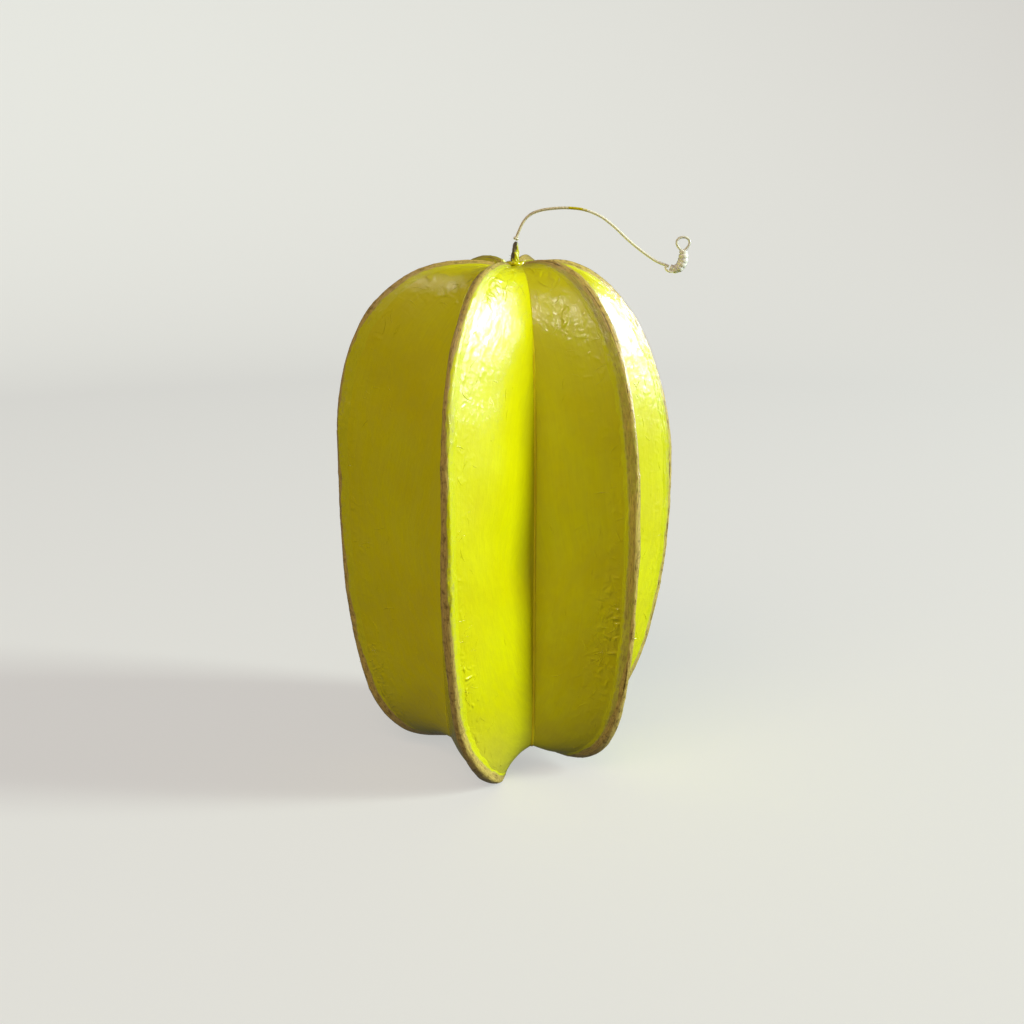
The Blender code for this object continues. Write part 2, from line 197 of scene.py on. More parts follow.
def cell(*sizes):
    """The scale at which a pattern's cells have these sizes in millimetres."""
    scales = [1 / (size * MM) for size in sizes]
    return scales[0] if len(scales) == 1 else (*scales, 1.0)[:3]


def new_material(name, constants):
    """A material with its tree and its shader, whose sockets are given constants by their names."""
    material = bpy.data.materials.new(name)
    material.use_nodes = True
    tree = material.node_tree
    shader = tree.nodes["Principled BSDF"]
    connect(tree, shader, constants)
    return material, tree, shader


def varnished(name, roughness, coat, coat_roughness):
    """A material under clear gloss varnish."""
    return new_material(name, {"Roughness": roughness, "Specular IOR Level": 0.3,
                               "Coat Weight": coat, "Coat Roughness": coat_roughness})


def finish(tree, shader, base, relief, coat_relief=None):
    """Joins a colour and the reliefs of the surface and of its varnish to the shader."""
    connect(tree, shader, {"Base Color": base, "Normal": relief, "Coat Normal": coat_relief or relief})


def lemon_paint(tree, solid, streaks):
    """The paint's colour: a little thin in places, streaked by the brush, and greyer and darker near
    the feet, partly painted shade low on the fruit and partly the one thin coat given there."""
    clouds = add_node(tree, "ShaderNodeTexNoise", {"Vector": solid, "Scale": cell(45.45), "Detail": 3.0})
    film = add_node(tree, "ShaderNodeValToRGB", {"Fac": clouds},
                    ((0.30, "#DED900"), (0.52, "#E3E300"), (0.70, "#E6EA00")))
    streak = add_node(tree, "ShaderNodeMapRange", {
        "Value": streaks, "From Min": 0.35, "From Max": 0.7, "To Max": 0.5})
    brushed = add_node(tree, "ShaderNodeMix", {"Factor": streak, "A": film, "B": "#D8D800"}, data_type="RGBA")
    # greyer and darker towards the feet: partly painted shade, partly the thinner coat there
    height = add_node(tree, "ShaderNodeSeparateXYZ", {"Vector": solid}).outputs["Z"]
    wobble = add_node(tree, "ShaderNodeMath", {0: clouds, 1: 50.0 * MM, 2: height}, operation="MULTIPLY_ADD")
    low = add_node(tree, "ShaderNodeMapRange", {
        "Value": wobble, "From Min": 75.0 * MM, "From Max": 28.0 * MM, "To Max": 0.55})
    return add_node(tree, "ShaderNodeMix", {"Factor": low, "A": brushed, "B": "#A8A24C"}, data_type="RGBA")


def lemon_gloss_acrylic():
    """Acrylic paint brushed along the lobes on paper pulp, then varnished. The brush leaves streaks
    about 1 mm wide and 30 mm long, and the varnish has pooled unevenly over the pulp, which breaks
    its reflections into mottled patches."""
    material, tree, shader = varnished("lemon_gloss_acrylic", 0.40, 1.0, 0.12)
    solid = add_node(tree, "ShaderNodeTexCoord").outputs["Object"]
    place = add_node(tree, "ShaderNodeUVMap", uv_map="UVMap")
    combed = add_node(tree, "ShaderNodeMapping", {"Vector": place, "Scale": cell(1.111, 28.57)})
    streaks = add_node(tree, "ShaderNodeTexNoise", {
        "Vector": combed, "Scale": 1.0, "Detail": 4.0, "Roughness": 0.6})
    brushed = add_node(tree, "ShaderNodeBump", {"Height": streaks, "Distance": 0.05 * MM})
    # creases of the gathered paper, where the mesh says that it is "creased"
    wrinkles = add_node(tree, "ShaderNodeTexNoise", {
        "Vector": solid, "Scale": cell(5.263), "Detail": 3.0, "Distortion": 0.6},
        noise_type="RIDGED_MULTIFRACTAL")
    creased = add_node(tree, "ShaderNodeAttribute", attribute_name="creased").outputs["Fac"]
    gathered = add_node(tree, "ShaderNodeMath", {0: wrinkles, 1: creased}, operation="MULTIPLY")
    rumpled = add_node(tree, "ShaderNodeBump", {"Height": gathered, "Distance": 0.7 * MM, "Normal": brushed})
    pulp = add_node(tree, "ShaderNodeTexNoise", {"Vector": solid, "Scale": cell(2.381), "Detail": 3.0})
    grain = add_node(tree, "ShaderNodeBump", {"Height": pulp, "Distance": 0.08 * MM, "Normal": rumpled})
    # the varnish: its pools and the patches where the pulp has drunk it
    pools = add_node(tree, "ShaderNodeMapping", {"Vector": place, "Scale": cell(3.846, 7.692)})
    pooled = add_node(tree, "ShaderNodeTexNoise", {
        "Vector": pools, "Scale": 1.0, "Detail": 4.0, "Roughness": 0.6})
    gloss = add_node(tree, "ShaderNodeBump", {"Height": pooled, "Distance": 0.6 * MM, "Normal": grain})
    patches = add_node(tree, "ShaderNodeMapping", {"Vector": place, "Scale": cell(6.667, 11.11)})
    patchy = add_node(tree, "ShaderNodeTexNoise", {
        "Vector": patches, "Scale": 1.0, "Detail": 5.0, "Roughness": 0.65})
    connect(tree, shader, {"Coat Weight": add_node(tree, "ShaderNodeMapRange", {
        "Value": patchy, "From Min": 0.42, "From Max": 0.56, "To Min": 0.30})})
    finish(tree, shader, lemon_paint(tree, solid, streaks), grain, gloss)
    return material


def lemon_acrylic_bead():
    """The same paint where it lies thick over creases, specks and the crown's lip, with no brush
    streaks."""
    material, tree, shader = varnished("lemon_acrylic_bead", 0.40, 1.0, 0.15)
    solid = add_node(tree, "ShaderNodeTexCoord").outputs["Object"]
    grain = add_node(tree, "ShaderNodeTexNoise", {"Vector": solid, "Scale": cell(2.0), "Detail": 3.0})
    relief = add_node(tree, "ShaderNodeBump", {"Height": grain, "Distance": 0.15 * MM})
    finish(tree, shader, lemon_paint(tree, solid, grain), relief)
    return material


def amber_glue_bead():
    """Hardened wood glue in the valleys under a wash of the paint: warmer than the panels and lumpy
    along its length."""
    material, tree, shader = varnished("amber_glue_bead", 0.35, 0.8, 0.15)
    solid = add_node(tree, "ShaderNodeTexCoord").outputs["Object"]
    drawn = add_node(tree, "ShaderNodeMapping", {"Vector": solid, "Scale": cell(1.667, 1.667, 11.11)})
    lumpy = add_node(tree, "ShaderNodeTexNoise", {"Vector": drawn, "Scale": 1.0, "Detail": 3.0})
    base = add_node(tree, "ShaderNodeValToRGB", {"Fac": lumpy}, ((0.35, "#E8D800"), (0.6, "#F4EC10")))
    finish(tree, shader, base, add_node(tree, "ShaderNodeBump", {"Height": lumpy, "Distance": 0.3 * MM}))
    return material


def brown_edge_paper():
    """Torn brown kraft paper glued over the edges, partly brushed over with lemon paint and
    varnished. The mesh's "bareness_and_shade" says how much paper shows: lemon, then a pale and an olive
    wash, bare tan paper at 1, and at 1.5 a dark line of painted shade where the fold turns from the light,
    with a ragged edge about 1 mm deep between them. Its fibres and creases run along the fold and glint
    under the varnish."""
    material, tree, shader = varnished("brown_edge_paper", 0.45, 0.9, 0.16)
    solid = add_node(tree, "ShaderNodeTexCoord").outputs["Object"]
    place = add_node(tree, "ShaderNodeUVMap", uv_map="UVMap")
    bareness_and_shade = add_node(tree, "ShaderNodeAttribute", attribute_name="bareness_and_shade").outputs["Fac"]
    torn = add_node(tree, "ShaderNodeTexNoise", {
        "Vector": solid, "Scale": cell(3.125), "Detail": 4.0, "Roughness": 0.65})
    ragged = add_node(tree, "ShaderNodeMapRange", {
        "Value": torn, "From Min": 0.3, "From Max": 0.7, "To Min": -0.16, "To Max": 0.16})
    bare = add_node(tree, "ShaderNodeMath", {0: ragged, 1: bareness_and_shade}, operation="ADD")
    shown = add_node(tree, "ShaderNodeMath", {0: bare, 1: SHADE_LINE_BARENESS}, operation="DIVIDE")
    # the last, dark stop is painted shade along the strip's left border
    paint = add_node(tree, "ShaderNodeValToRGB", {"Fac": shown}, (
        (0.08, "#E2E600"), (0.22, "#DADC50"), (0.37, "#CCC65C"), (0.52, "#DAC868"), (0.67, "#DCC470"),
        (0.80, "#7A6620")))
    fibre_place = add_node(tree, "ShaderNodeMapping", {"Vector": place, "Scale": cell(0.6667, 6.25)})
    fibres = add_node(tree, "ShaderNodeTexNoise", {
        "Vector": fibre_place, "Scale": 1.0, "Detail": 5.0, "Roughness": 0.7})
    shade = add_node(tree, "ShaderNodeValToRGB", {"Fac": fibres}, ((0.30, "#A89C84"), (0.52, "#FFFFFF")))
    uncovered = add_node(tree, "ShaderNodeMapRange", {"Value": bare, "From Min": 0.2, "From Max": 0.6})
    base = add_node(tree, "ShaderNodeMix", {"Factor": uncovered, "A": paint, "B": shade},
                    data_type="RGBA", blend_type="MULTIPLY")
    crease_place = add_node(tree, "ShaderNodeMapping", {"Vector": place, "Scale": cell(1.667, 7.143)})
    creases = add_node(tree, "ShaderNodeTexNoise", {
        "Vector": crease_place, "Scale": 1.0, "Detail": 5.0, "Roughness": 0.7})
    fibrous = add_node(tree, "ShaderNodeBump", {"Height": fibres, "Distance": 0.12 * MM})
    relief = add_node(tree, "ShaderNodeBump", {"Height": creases, "Distance": 0.45 * MM, "Normal": fibrous})
    finish(tree, shader, base, relief)
    return material


def twisted_kraft_paper():
    """Paper pulp twisted to a peg. Its foot and right side are painted lemon; the torn left side,
    away from the light, is dark grey with streaks round the twist: partly bare pulp, partly painted shade."""
    material, tree, shader = varnished("twisted_kraft_paper", 0.6, 0.5, 0.2)
    solid = add_node(tree, "ShaderNodeTexCoord").outputs["Object"]
    place = add_node(tree, "ShaderNodeUVMap", uv_map="UVMap")
    twist = add_node(tree, "ShaderNodeMapping", {"Vector": place, "Scale": cell(1.111, 3.846)})
    wrung = add_node(tree, "ShaderNodeTexNoise", {
        "Vector": twist, "Scale": 1.0, "Detail": 5.0, "Roughness": 0.7})
    bareness_and_shade = add_node(tree, "ShaderNodeAttribute", attribute_name="bareness_and_shade").outputs["Fac"]
    torn = add_node(tree, "ShaderNodeTexNoise", {"Vector": solid, "Scale": cell(1.429), "Detail": 4.0})
    ragged = add_node(tree, "ShaderNodeMapRange", {
        "Value": torn, "From Min": 0.3, "From Max": 0.7, "To Min": -0.3, "To Max": 0.3})
    bare = add_node(tree, "ShaderNodeMath", {0: ragged, 1: bareness_and_shade}, operation="ADD")
    shown = add_node(tree, "ShaderNodeMapRange", {"Value": bare, "From Min": 0.42, "From Max": 0.58})
    # dark grey on the left side: partly bare pulp, partly painted shade
    pulp = add_node(tree, "ShaderNodeValToRGB", {"Fac": wrung}, ((0.32, "#3C3830"), (0.62, "#7C7460")))
    paint = add_node(tree, "ShaderNodeValToRGB", {"Fac": wrung}, ((0.32, "#B4B010"), (0.6, "#E2E400")))
    base = add_node(tree, "ShaderNodeMix", {"Factor": shown, "A": paint, "B": pulp}, data_type="RGBA")
    finish(tree, shader, base, add_node(tree, "ShaderNodeBump", {"Height": wrung, "Distance": 0.4 * MM}))
    return material


def paper_covered_wire(name, stained):
    """Florist's wire bound in a spiral of ivory paper: its turns show as fine ridges about 2 mm apart.
    The hanging wire's first 45 mm is stained olive-brown from the painting, with one dab of lemon."""
    material, tree, shader = new_material(name, {"Roughness": 0.5, "Specular IOR Level": 0.4})
    solid = add_node(tree, "ShaderNodeTexCoord").outputs["Object"]
    place = add_node(tree, "ShaderNodeUVMap", uv_map="UVMap")
    speckle = add_node(tree, "ShaderNodeTexNoise", {
        "Vector": solid, "Scale": cell(1.111), "Detail": 4.0, "Roughness": 0.6})
    base = add_node(tree, "ShaderNodeValToRGB", {"Fac": speckle}, ((0.3, "#F0ECDC"), (0.55, "#FFFFFA")))
    if stained:
        along = add_node(tree, "ShaderNodeSeparateXYZ", {"Vector": place}).outputs["Y"]
        spot = add_node(tree, "ShaderNodeTexNoise", {"Vector": solid, "Scale": cell(3.846), "Detail": 3.0})
        edge = add_node(tree, "ShaderNodeMath", {0: spot, 1: 10.0 * MM, 2: along}, operation="MULTIPLY_ADD")
        clean = add_node(tree, "ShaderNodeMapRange", {
            "Value": edge, "From Min": 46.0 * MM, "From Max": 54.0 * MM})
        stain = add_node(tree, "ShaderNodeValToRGB", {"Fac": speckle}, ((0.3, "#C4BC98"), (0.6, "#F8F2DC")))
        mottled = add_node(tree, "ShaderNodeMix", {"Factor": clean, "A": stain, "B": base}, data_type="RGBA")
        off = add_node(tree, "ShaderNodeMath", {0: edge, 1: 47.5 * MM}, operation="SUBTRACT")
        near = add_node(tree, "ShaderNodeMath", {0: off}, operation="ABSOLUTE")
        dab = add_node(tree, "ShaderNodeMapRange", {
            "Value": near, "From Min": 4.8 * MM, "From Max": 3.6 * MM})
        base = add_node(tree, "ShaderNodeMix", {"Factor": dab, "A": mottled, "B": "#D8CC10"},
                        data_type="RGBA")
    turns = add_node(tree, "ShaderNodeTexWave", {
        "Vector": place, "Scale": cell(6.25), "Distortion": 1.5, "Detail": 2.0},
        bands_direction="Y").outputs["Fac"]
    bound = add_node(tree, "ShaderNodeBump", {"Height": turns, "Distance": 0.06 * MM})
    relief = add_node(tree, "ShaderNodeBump", {"Height": speckle, "Distance": 0.12 * MM, "Normal": bound})
    finish(tree, shader, base, relief)
    return material


def white_tape():
    """Thin white paper tape, wrinkled as it was wound, with grey painted shade in its folds and a
    little of its glue's gloss."""
    material, tree, shader = varnished("white_paper_tape", 0.45, 0.5, 0.2)
    solid = add_node(tree, "ShaderNodeTexCoord").outputs["Object"]
    wound = add_node(tree, "ShaderNodeMapping", {"Vector": solid, "Scale": cell(3.125, 3.125, 1.923)})
    folds = add_node(tree, "ShaderNodeTexNoise", {
        "Vector": wound, "Scale": 1.0, "Detail": 5.0, "Roughness": 0.65})
    # the grey at the low end is painted shade in the folds
    base = add_node(tree, "ShaderNodeValToRGB", {"Fac": folds},
                    ((0.26, "#5C6068"), (0.36, "#DCE2EC"), (0.5, "#FCFDFF")))
    finish(tree, shader, base, add_node(tree, "ShaderNodeBump", {"Height": folds, "Distance": 0.25 * MM}))
    return material


def white_coated_wire():
    """Thin wire in white plastic, scuffed grey in places."""
    material, tree, shader = varnished("white_coated_wire", 0.35, 0.4, 0.1)
    solid = add_node(tree, "ShaderNodeTexCoord").outputs["Object"]
    scuffs = add_node(tree, "ShaderNodeTexNoise", {
        "Vector": solid, "Scale": cell(2.0), "Detail": 5.0, "Roughness": 0.65})
    base = add_node(tree, "ShaderNodeValToRGB", {"Fac": scuffs},
                    ((0.3, "#C4C4BE"), (0.5, "#F4F4F0"), (0.7, "#FFFFFC")))
    finish(tree, shader, base, add_node(tree, "ShaderNodeBump", {"Height": scuffs, "Distance": 0.08 * MM}))
    return material


def grey_card():
    """Greyboard made of pressed waste paper: flecked, matt and fibrous."""
    material, tree, shader = new_material("grey_card", {"Roughness": 0.85})
    solid = add_node(tree, "ShaderNodeTexCoord").outputs["Object"]
    flecks = add_node(tree, "ShaderNodeTexNoise", {
        "Vector": solid, "Scale": cell(1.25), "Detail": 6.0, "Roughness": 0.7})
    base = add_node(tree, "ShaderNodeValToRGB", {"Fac": flecks},
                    ((0.3, "#6E675C"), (0.55, "#9C9384"), (0.75, "#BEB7A8")))
    finish(tree, shader, base, add_node(tree, "ShaderNodeBump", {"Height": flecks, "Distance": 0.1 * MM}))
    return material


def birch_dowel():
    """Sanded birch: pale, with fine grain along the stick."""
    material, tree, shader = new_material("birch_dowel", {"Roughness": 0.7})
    solid = add_node(tree, "ShaderNodeTexCoord").outputs["Object"]
    along = add_node(tree, "ShaderNodeMapping", {"Vector": solid, "Scale": cell(16.67, 1.111, 1.111)})
    grain = add_node(tree, "ShaderNodeTexNoise", {
        "Vector": along, "Scale": 1.0, "Detail": 5.0, "Roughness": 0.65})
    base = add_node(tree, "ShaderNodeValToRGB", {"Fac": grain}, ((0.3, "#A98C60"), (0.6, "#D8BF92")))
    finish(tree, shader, base, add_node(tree, "ShaderNodeBump", {"Height": grain, "Distance": 0.08 * MM}))
    return material


LEMON = lemon_gloss_acrylic()
LEMON_BEAD = lemon_acrylic_bead()
GLUE = amber_glue_bead()
KRAFT = brown_edge_paper()
TWISTED = twisted_kraft_paper()
HANGING_WIRE = paper_covered_wire("paper_covered_wire", True)
BARE_WIRE = paper_covered_wire("plain_paper_covered_wire", False)
TAPE = white_tape()
WHITE_WIRE = white_coated_wire()
CARD_STOCK = grey_card()
BIRCH = birch_dowel()


# Outlines ------------------------------------------------------------------------------------

def outward(azimuth):
    """The level direction away from the axis at an azimuth."""
    angle = math.radians(azimuth)
    return np.array((math.sin(angle), -math.cos(angle), 0.0))


def sideways(azimuth):
    """The level direction to the right of outward."""
    angle = math.radians(azimuth)
    return np.array((math.cos(angle), math.sin(angle), 0.0))


def outline(station, crest, belly, foot, crown_power, foot_power):
    """Radius and height along a ridge or valley: crown dip 0-1, upper quarter 1-2, lower quarter
    2-3, flat foot 3-4, underside 4-5."""
    span = np.minimum(station.astype(int), 4)
    share = station - span
    rising = np.sin(share * math.pi / 2)
    falling = np.clip(np.cos(share * math.pi / 2), 0.0, 1.0)
    ease = (1 - np.cos(math.pi * share)) / 2
    inner_foot = foot[0] - FOOT_FLAT
    radius = np.choose(span, [
        crest[0] * share,
        crest[0] + (belly[0] - crest[0]) * rising ** (2 / crown_power),
        foot[0] + (belly[0] - foot[0]) * falling ** (2 / foot_power),
        foot[0] - FOOT_FLAT * share,
        inner_foot * (1 - share),
    ])
    height = np.choose(span, [
        PIT_Z + (crest[1] - PIT_Z) * ease,
        belly[1] + (crest[1] - belly[1]) * falling ** (2 / crown_power),
        belly[1] - (belly[1] - foot[1]) * rising ** (2 / foot_power),
        foot[1] + 0 * share,
        foot[1] + (BASE_Z - foot[1]) * ease,
    ])
    return radius, height


def ridge_outline(lobe):
    """A lobe's ridge, as a function from stations to radius and height."""
    crest = (CREST_RADIUS, lobe.crest * MM)
    belly = (lobe.reach * MM, lobe.belly * MM)
    foot = (lobe.foot_radius * MM, lobe.foot * MM)
    return lambda s: outline(s, crest, belly, foot, lobe.crown_power, lobe.foot_power)


def valley_outline(station):
    return outline(station, VALLEY_CREST, VALLEY_BELLY, VALLEY_FOOT,
                   VALLEY_CROWN_POWER, VALLEY_FOOT_POWER)


def plane_points(profile, azimuth, station, drop=0.0):
    """Points of an outline in its own upright plane, moved in by drop along its normal."""
    step = 0.01
    radius, height = profile(station)
    before = profile(np.maximum(station - step, 0.0))
    after = profile(np.minimum(station + step, 5.0))
    run, rise = after[0] - before[0], after[1] - before[1]
    length = np.hypot(run, rise)
    radius = radius + drop * rise / length
    height = height - drop * run / length
    lean = CROWN_LEAN * (height / PIT_Z) ** 2
    axis = np.stack([lean + AXIS.x, 0 * lean + AXIS.y, height], axis=1)
    return axis + outward(azimuth) * radius[:, None]


def valley_azimuth(index, side):
    """Azimuth of the valley beside a lobe: side is -1 on its left, +1 on its right."""
    here = LOBES[index].azimuth
    other = LOBES[(index + side) % len(LOBES)].azimuth
    left_lobe = LOBES[index if side > 0 else index - 1]
    return here + side * ((other - here) * side % 360.0) / 2 + VALLEY_TURN.get(left_lobe.name, 0.0)


def settled(points):
    """Points as they are after drying, when the front left lobe's foot has sagged to the right."""
    flat = np.asarray(points).reshape(-1, 3)
    run = flat - np.array((AXIS.x, AXIS.y, 0.0))
    azimuth = np.degrees(np.arctan2(run[:, 0], -run[:, 1]))
    near = np.clip(1 - np.abs(azimuth - SAG_LOBE.azimuth) / SAG_REACH, 0, 1)
    near = near * near * (3 - 2 * near)
    low = np.clip(1 - run[:, 2] / SAG_HEIGHT, 0, 1) ** 2
    angle = np.radians(SAG_TURN) * near * low
    moved = np.stack([run[:, 0] * np.cos(angle) - run[:, 1] * np.sin(angle),
                      run[:, 0] * np.sin(angle) + run[:, 1] * np.cos(angle), run[:, 2]], axis=1)
    return (moved + np.array((AXIS.x, AXIS.y, 0.0))).reshape(np.shape(points))


def bell(value, centre, width):
    """1 at a centre, and less on both sides of it over a width."""
    return np.exp(-((value - centre) / width) ** 2)


def unit(vectors):
    return vectors / np.linalg.norm(vectors, axis=-1, keepdims=True)


def panel_frame(index, side, station, drop=0.0, inset=0.0):
    """Corner at the ridge, end at the valley, and outward normal of a panel at each station."""
    lobe = LOBES[index]
    profile = ridge_outline(lobe)
    azimuth = valley_azimuth(index, side)

    def corner(at, ridge_drop):
        spread_foot = 1 + FOOT_SPREAD * bell(at, FOOT_STATION, FOOT_SPAN)
        half = np.minimum((EDGE_HALF - inset) * spread_foot, EDGE_TAPER * profile(at)[0])
        return plane_points(profile, lobe.azimuth, at, ridge_drop) \
            + sideways(lobe.azimuth) * side * half[:, None]

    def end(at):
        return plane_points(valley_outline, azimuth, at)

    step = 0.02
    low, high = np.maximum(station - step, 0.0), np.minimum(station + step, 5.0)
    run = corner(high, 0.0) + end(high) - corner(low, 0.0) - end(low)
    reach = end(station) - corner(station, 0.0)
    normal = unit(np.cross(run, reach)) * side
    return corner(station, drop), end(station), normal


def face_offset(share, side, length):
    """How far a panel's face stands off the straight line from ridge to valley. Left panels bulge a
    little; right ones were pressed in towards the valley with the thumb, so they are dished there."""
    scale = np.minimum(length / DISH_FULL_WIDTH, 1.0)
    if side > 0:
        return -RIGHT_DISH * np.sin(math.pi * share ** 1.5) * scale
    return BELLY_BULGE * np.sin(math.pi * share) * scale


def even_stations(lobe, low, high, count):
    """Stations at even distances along a ridge, and their distances from the crown in metres."""
    dense = np.linspace(0.0, 5.0, 4000)
    points = plane_points(ridge_outline(lobe), lobe.azimuth, dense)
    steps = np.linalg.norm(np.diff(points, axis=0), axis=1)
    travelled = np.concatenate([[0.0], np.cumsum(steps)])
    ends = np.interp([low, high], dense, travelled)
    along = np.linspace(*ends, count)
    return np.interp(along, travelled, dense), along


# Mesh building -------------------------------------------------------------------------------

def lumps(points, seed):
    """Smooth noise between about -1 and 1 at each of an array's points."""
    shift = Vector((seed * 17.3, seed * 5.1, seed * 9.7))
    flat = np.asarray(points).reshape(-1, 3).tolist()
    values = [noise.noise(Vector(p) + shift) for p in flat]
    return np.array(values).reshape(np.asarray(points).shape[:-1])


def loft(name, loops, places, material, capped=True):
    """A closed mesh through equal loops of points, with a place in the UV map for each point."""
    rows, count, _ = loops.shape
    here = np.arange(rows * count).reshape(rows, count)
    beside = np.roll(here, -1, axis=1)
    quads = np.stack([here[:-1], beside[:-1], beside[1:], here[1:]], axis=-1).reshape(-1, 4)
    faces = quads.tolist()
    if capped:
        faces += [here[0][::-1].tolist(), here[-1].tolist()]
    data = bpy.data.meshes.new(name)
    data.from_pydata(loops.reshape(-1, 3).tolist(), [], faces)
    layer = data.uv_layers.new(name="UVMap")
    corner_points = np.zeros(len(data.loops), int)
    data.loops.foreach_get("vertex_index", corner_points)
    layer.data.foreach_set("uv", places.reshape(-1, 2)[corner_points].ravel())
    return finish_mesh(name, data, material)


def put_in_scene(name, data):
    """An object of its own for a mesh, a light or a camera."""
    made = bpy.data.objects.new(name, data)
    bpy.context.scene.collection.objects.link(made)
    return made


def finish_mesh(name, data, material):
    """Turns the faces outwards, shades them smooth and makes the object."""
    mesh = bmesh.new()
    mesh.from_mesh(data)
    bmesh.ops.recalc_face_normals(mesh, faces=mesh.faces)
    mesh.to_mesh(data)
    mesh.free()
    data.shade_smooth()
    data.materials.append(material)
    return put_in_scene(name, data)


def give_attribute(piece, name, values):
    """Paints a value on each of a piece's vertices, for a material or a tree to read."""
    attribute = piece.data.attributes.new(name, "FLOAT", "POINT")
    attribute.data.foreach_set("value", np.asarray(values, float).ravel())


def settle(piece, slot, *nodes):
    """Says what a finished piece moves with and hides the CAD nodes that it stands for; its slot, the finish
    it would take, is not used.
    """
    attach(piece, "root")
    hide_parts(*nodes)


def smooth_curve(points, count):
    """A Catmull-Rom curve through points, which are an array's first axis, as count points."""
    place = np.linspace(0.0, 1.0, count) * (len(points) - 1)
    i = np.minimum(place.astype(int), len(points) - 2)
    u = (place - i).reshape(-1, *[1] * (points.ndim - 1))
    padded = np.concatenate([[points[0] * 2 - points[1]], points, [points[-1] * 2 - points[-2]]])
    p0, p1, p2, p3 = padded[i], padded[i + 1], padded[i + 2], padded[i + 3]
    return 0.5 * (2 * p1 + (p2 - p0) * u + (2 * p0 - 5 * p1 + 4 * p2 - p3) * u ** 2
                  + (3 * p1 - p0 - 3 * p2 + p3) * u ** 3)


def guide_line(name, points):
    """A bare line through points, for a tree to build on. It is removed once it has been used."""
    data = bpy.data.meshes.new(name)
    data.from_pydata(points.tolist(), [(k, k + 1) for k in range(len(points) - 1)], [])
    return put_in_scene(name, data)


def tube(name, points, radii, sides, material, closed=False):
    """A tube along points, with one radius, or one for each side, at each point."""
    count = len(points)
    radii = np.broadcast_to(np.asarray(radii, float).reshape(count, -1), (count, sides))
    ahead = np.roll(points, -1, axis=0) - np.roll(points, 1, axis=0)
    if not closed:
        ahead[0], ahead[-1] = points[1] - points[0], points[-1] - points[-2]
    ahead = unit(ahead)
    first = np.array(Vector(ahead[0]).orthogonal().normalized())
    angles = np.arange(sides) * math.tau / sides
    loops = []
    for point, direction, radius in zip(points, ahead, radii):
        first = unit(first - direction * (first @ direction))
        second = np.cross(direction, first)
        ring = np.outer(np.cos(angles), first) + np.outer(np.sin(angles), second)
        loops.append(point + ring * radius[:, None])
    steps = np.linalg.norm(np.diff(points, axis=0), axis=1)
    along = np.concatenate([[0.0], np.cumsum(steps)])
    turn, travel = np.meshgrid(angles * radii.mean(), along)
    if closed:
        loops.append(loops[0])
        travel = np.vstack([travel, travel[-1:]])
        turn = np.vstack([turn, turn[-1:]])
    return loft(name, np.array(loops), np.stack([turn, travel], axis=-1), material, not closed)


# Lobes ---------------------------------------------------------------------------------------

# Relief of a panel's paper: wide dents, smaller ripples, and fine creases in patches beside the strip.
# It fades out at the valley and at the crown.
DENT_SIZE, DENT_DEPTH = 52.0 * MM, 1.6 * MM
RIPPLE_SIZE, RIPPLE_DEPTH = 21.0 * MM, 0.35 * MM
CREASE_WIDTH, CREASE_LENGTH, CREASE_HEIGHT, CREASE_PATCH = 6.0 * MM, 14.0 * MM, 0.25 * MM, 30.0 * MM
RELIEF_FADE, CROWN_FADE = 12.0 * MM, 30.0 * MM

# Where raised creases gather on a panel: beside the strip, and in a band under the crown's rim, which
# itself has none
GATHER_FADE = 14.0 * MM
CROWN_GATHER, CROWN_GATHER_AT, CROWN_GATHER_SPAN = 0.35, 45.0 * MM, 20.0 * MM
SMOOTH_CROWN = 20.0 * MM


def panel_relief(points, share, along, width, seed):
    """How far hand-laid paper stands off a panel's plain face, in metres."""
    soft = lumps(points / DENT_SIZE, seed) * DENT_DEPTH
    soft += lumps(points / RIPPLE_SIZE, seed + 40) * RIPPLE_DEPTH
    # creases run away from the strip's border and die out
    from_edge = share * width
    spots = np.stack([along / CREASE_WIDTH + 0 * from_edge, from_edge / CREASE_LENGTH, 0 * from_edge],
                     axis=-1)
    crease = np.maximum(1 - np.abs(lumps(spots, seed + 80)) * 5, 0)
    patch = np.clip(lumps(points / CREASE_PATCH, seed + 120) * 2.5, 0, 1)
    soft += crease * patch * np.exp(-from_edge / RELIEF_FADE) * CREASE_HEIGHT
    fade = np.clip((1 - share) * width / RELIEF_FADE, 0, 1)
    ends = np.clip((along - RELIEF_FADE) / CROWN_FADE, 0, 1)
    return soft * fade * ends


def skin(index, side, station, along, share):
    """A panel's finished face: points at shares of the way from ridge to valley, and normals."""
    corner, end, normal = panel_frame(index, side, station, UNDER_STRIP, UNDER_STRIP)
    width = np.linalg.norm(end - corner, axis=1)[:, None]
    face = corner[:, None] + (end - corner)[:, None] * share[..., None]
    rise = face_offset(share, side, width)
    rise = rise + panel_relief(face, share, along[:, None], width, index * 2 + side)
    return face + normal[:, None] * rise[..., None], normal, width


def gathering(lobe, side, face, from_edge, along):
    """How densely raised creases lie at each point of a panel's face."""
    density = np.exp(-from_edge / GATHER_FADE) * (from_edge > STRIP_FLANGE + 0.5 * MM)
    density += CROWN_GATHER * bell(along[:, None], CROWN_GATHER_AT, CROWN_GATHER_SPAN)
    for spot in GATHERS:
        if (spot.lobe, spot.side) == (lobe.name, side):
            tall = (face[..., 2] / MM - spot.height) / spot.tall
            wide = (from_edge / MM - spot.across) / spot.wide
            density += spot.density * np.exp(-tall ** 2 - wide ** 2)
    density[along < SMOOTH_CROWN] = 0.0
    return density


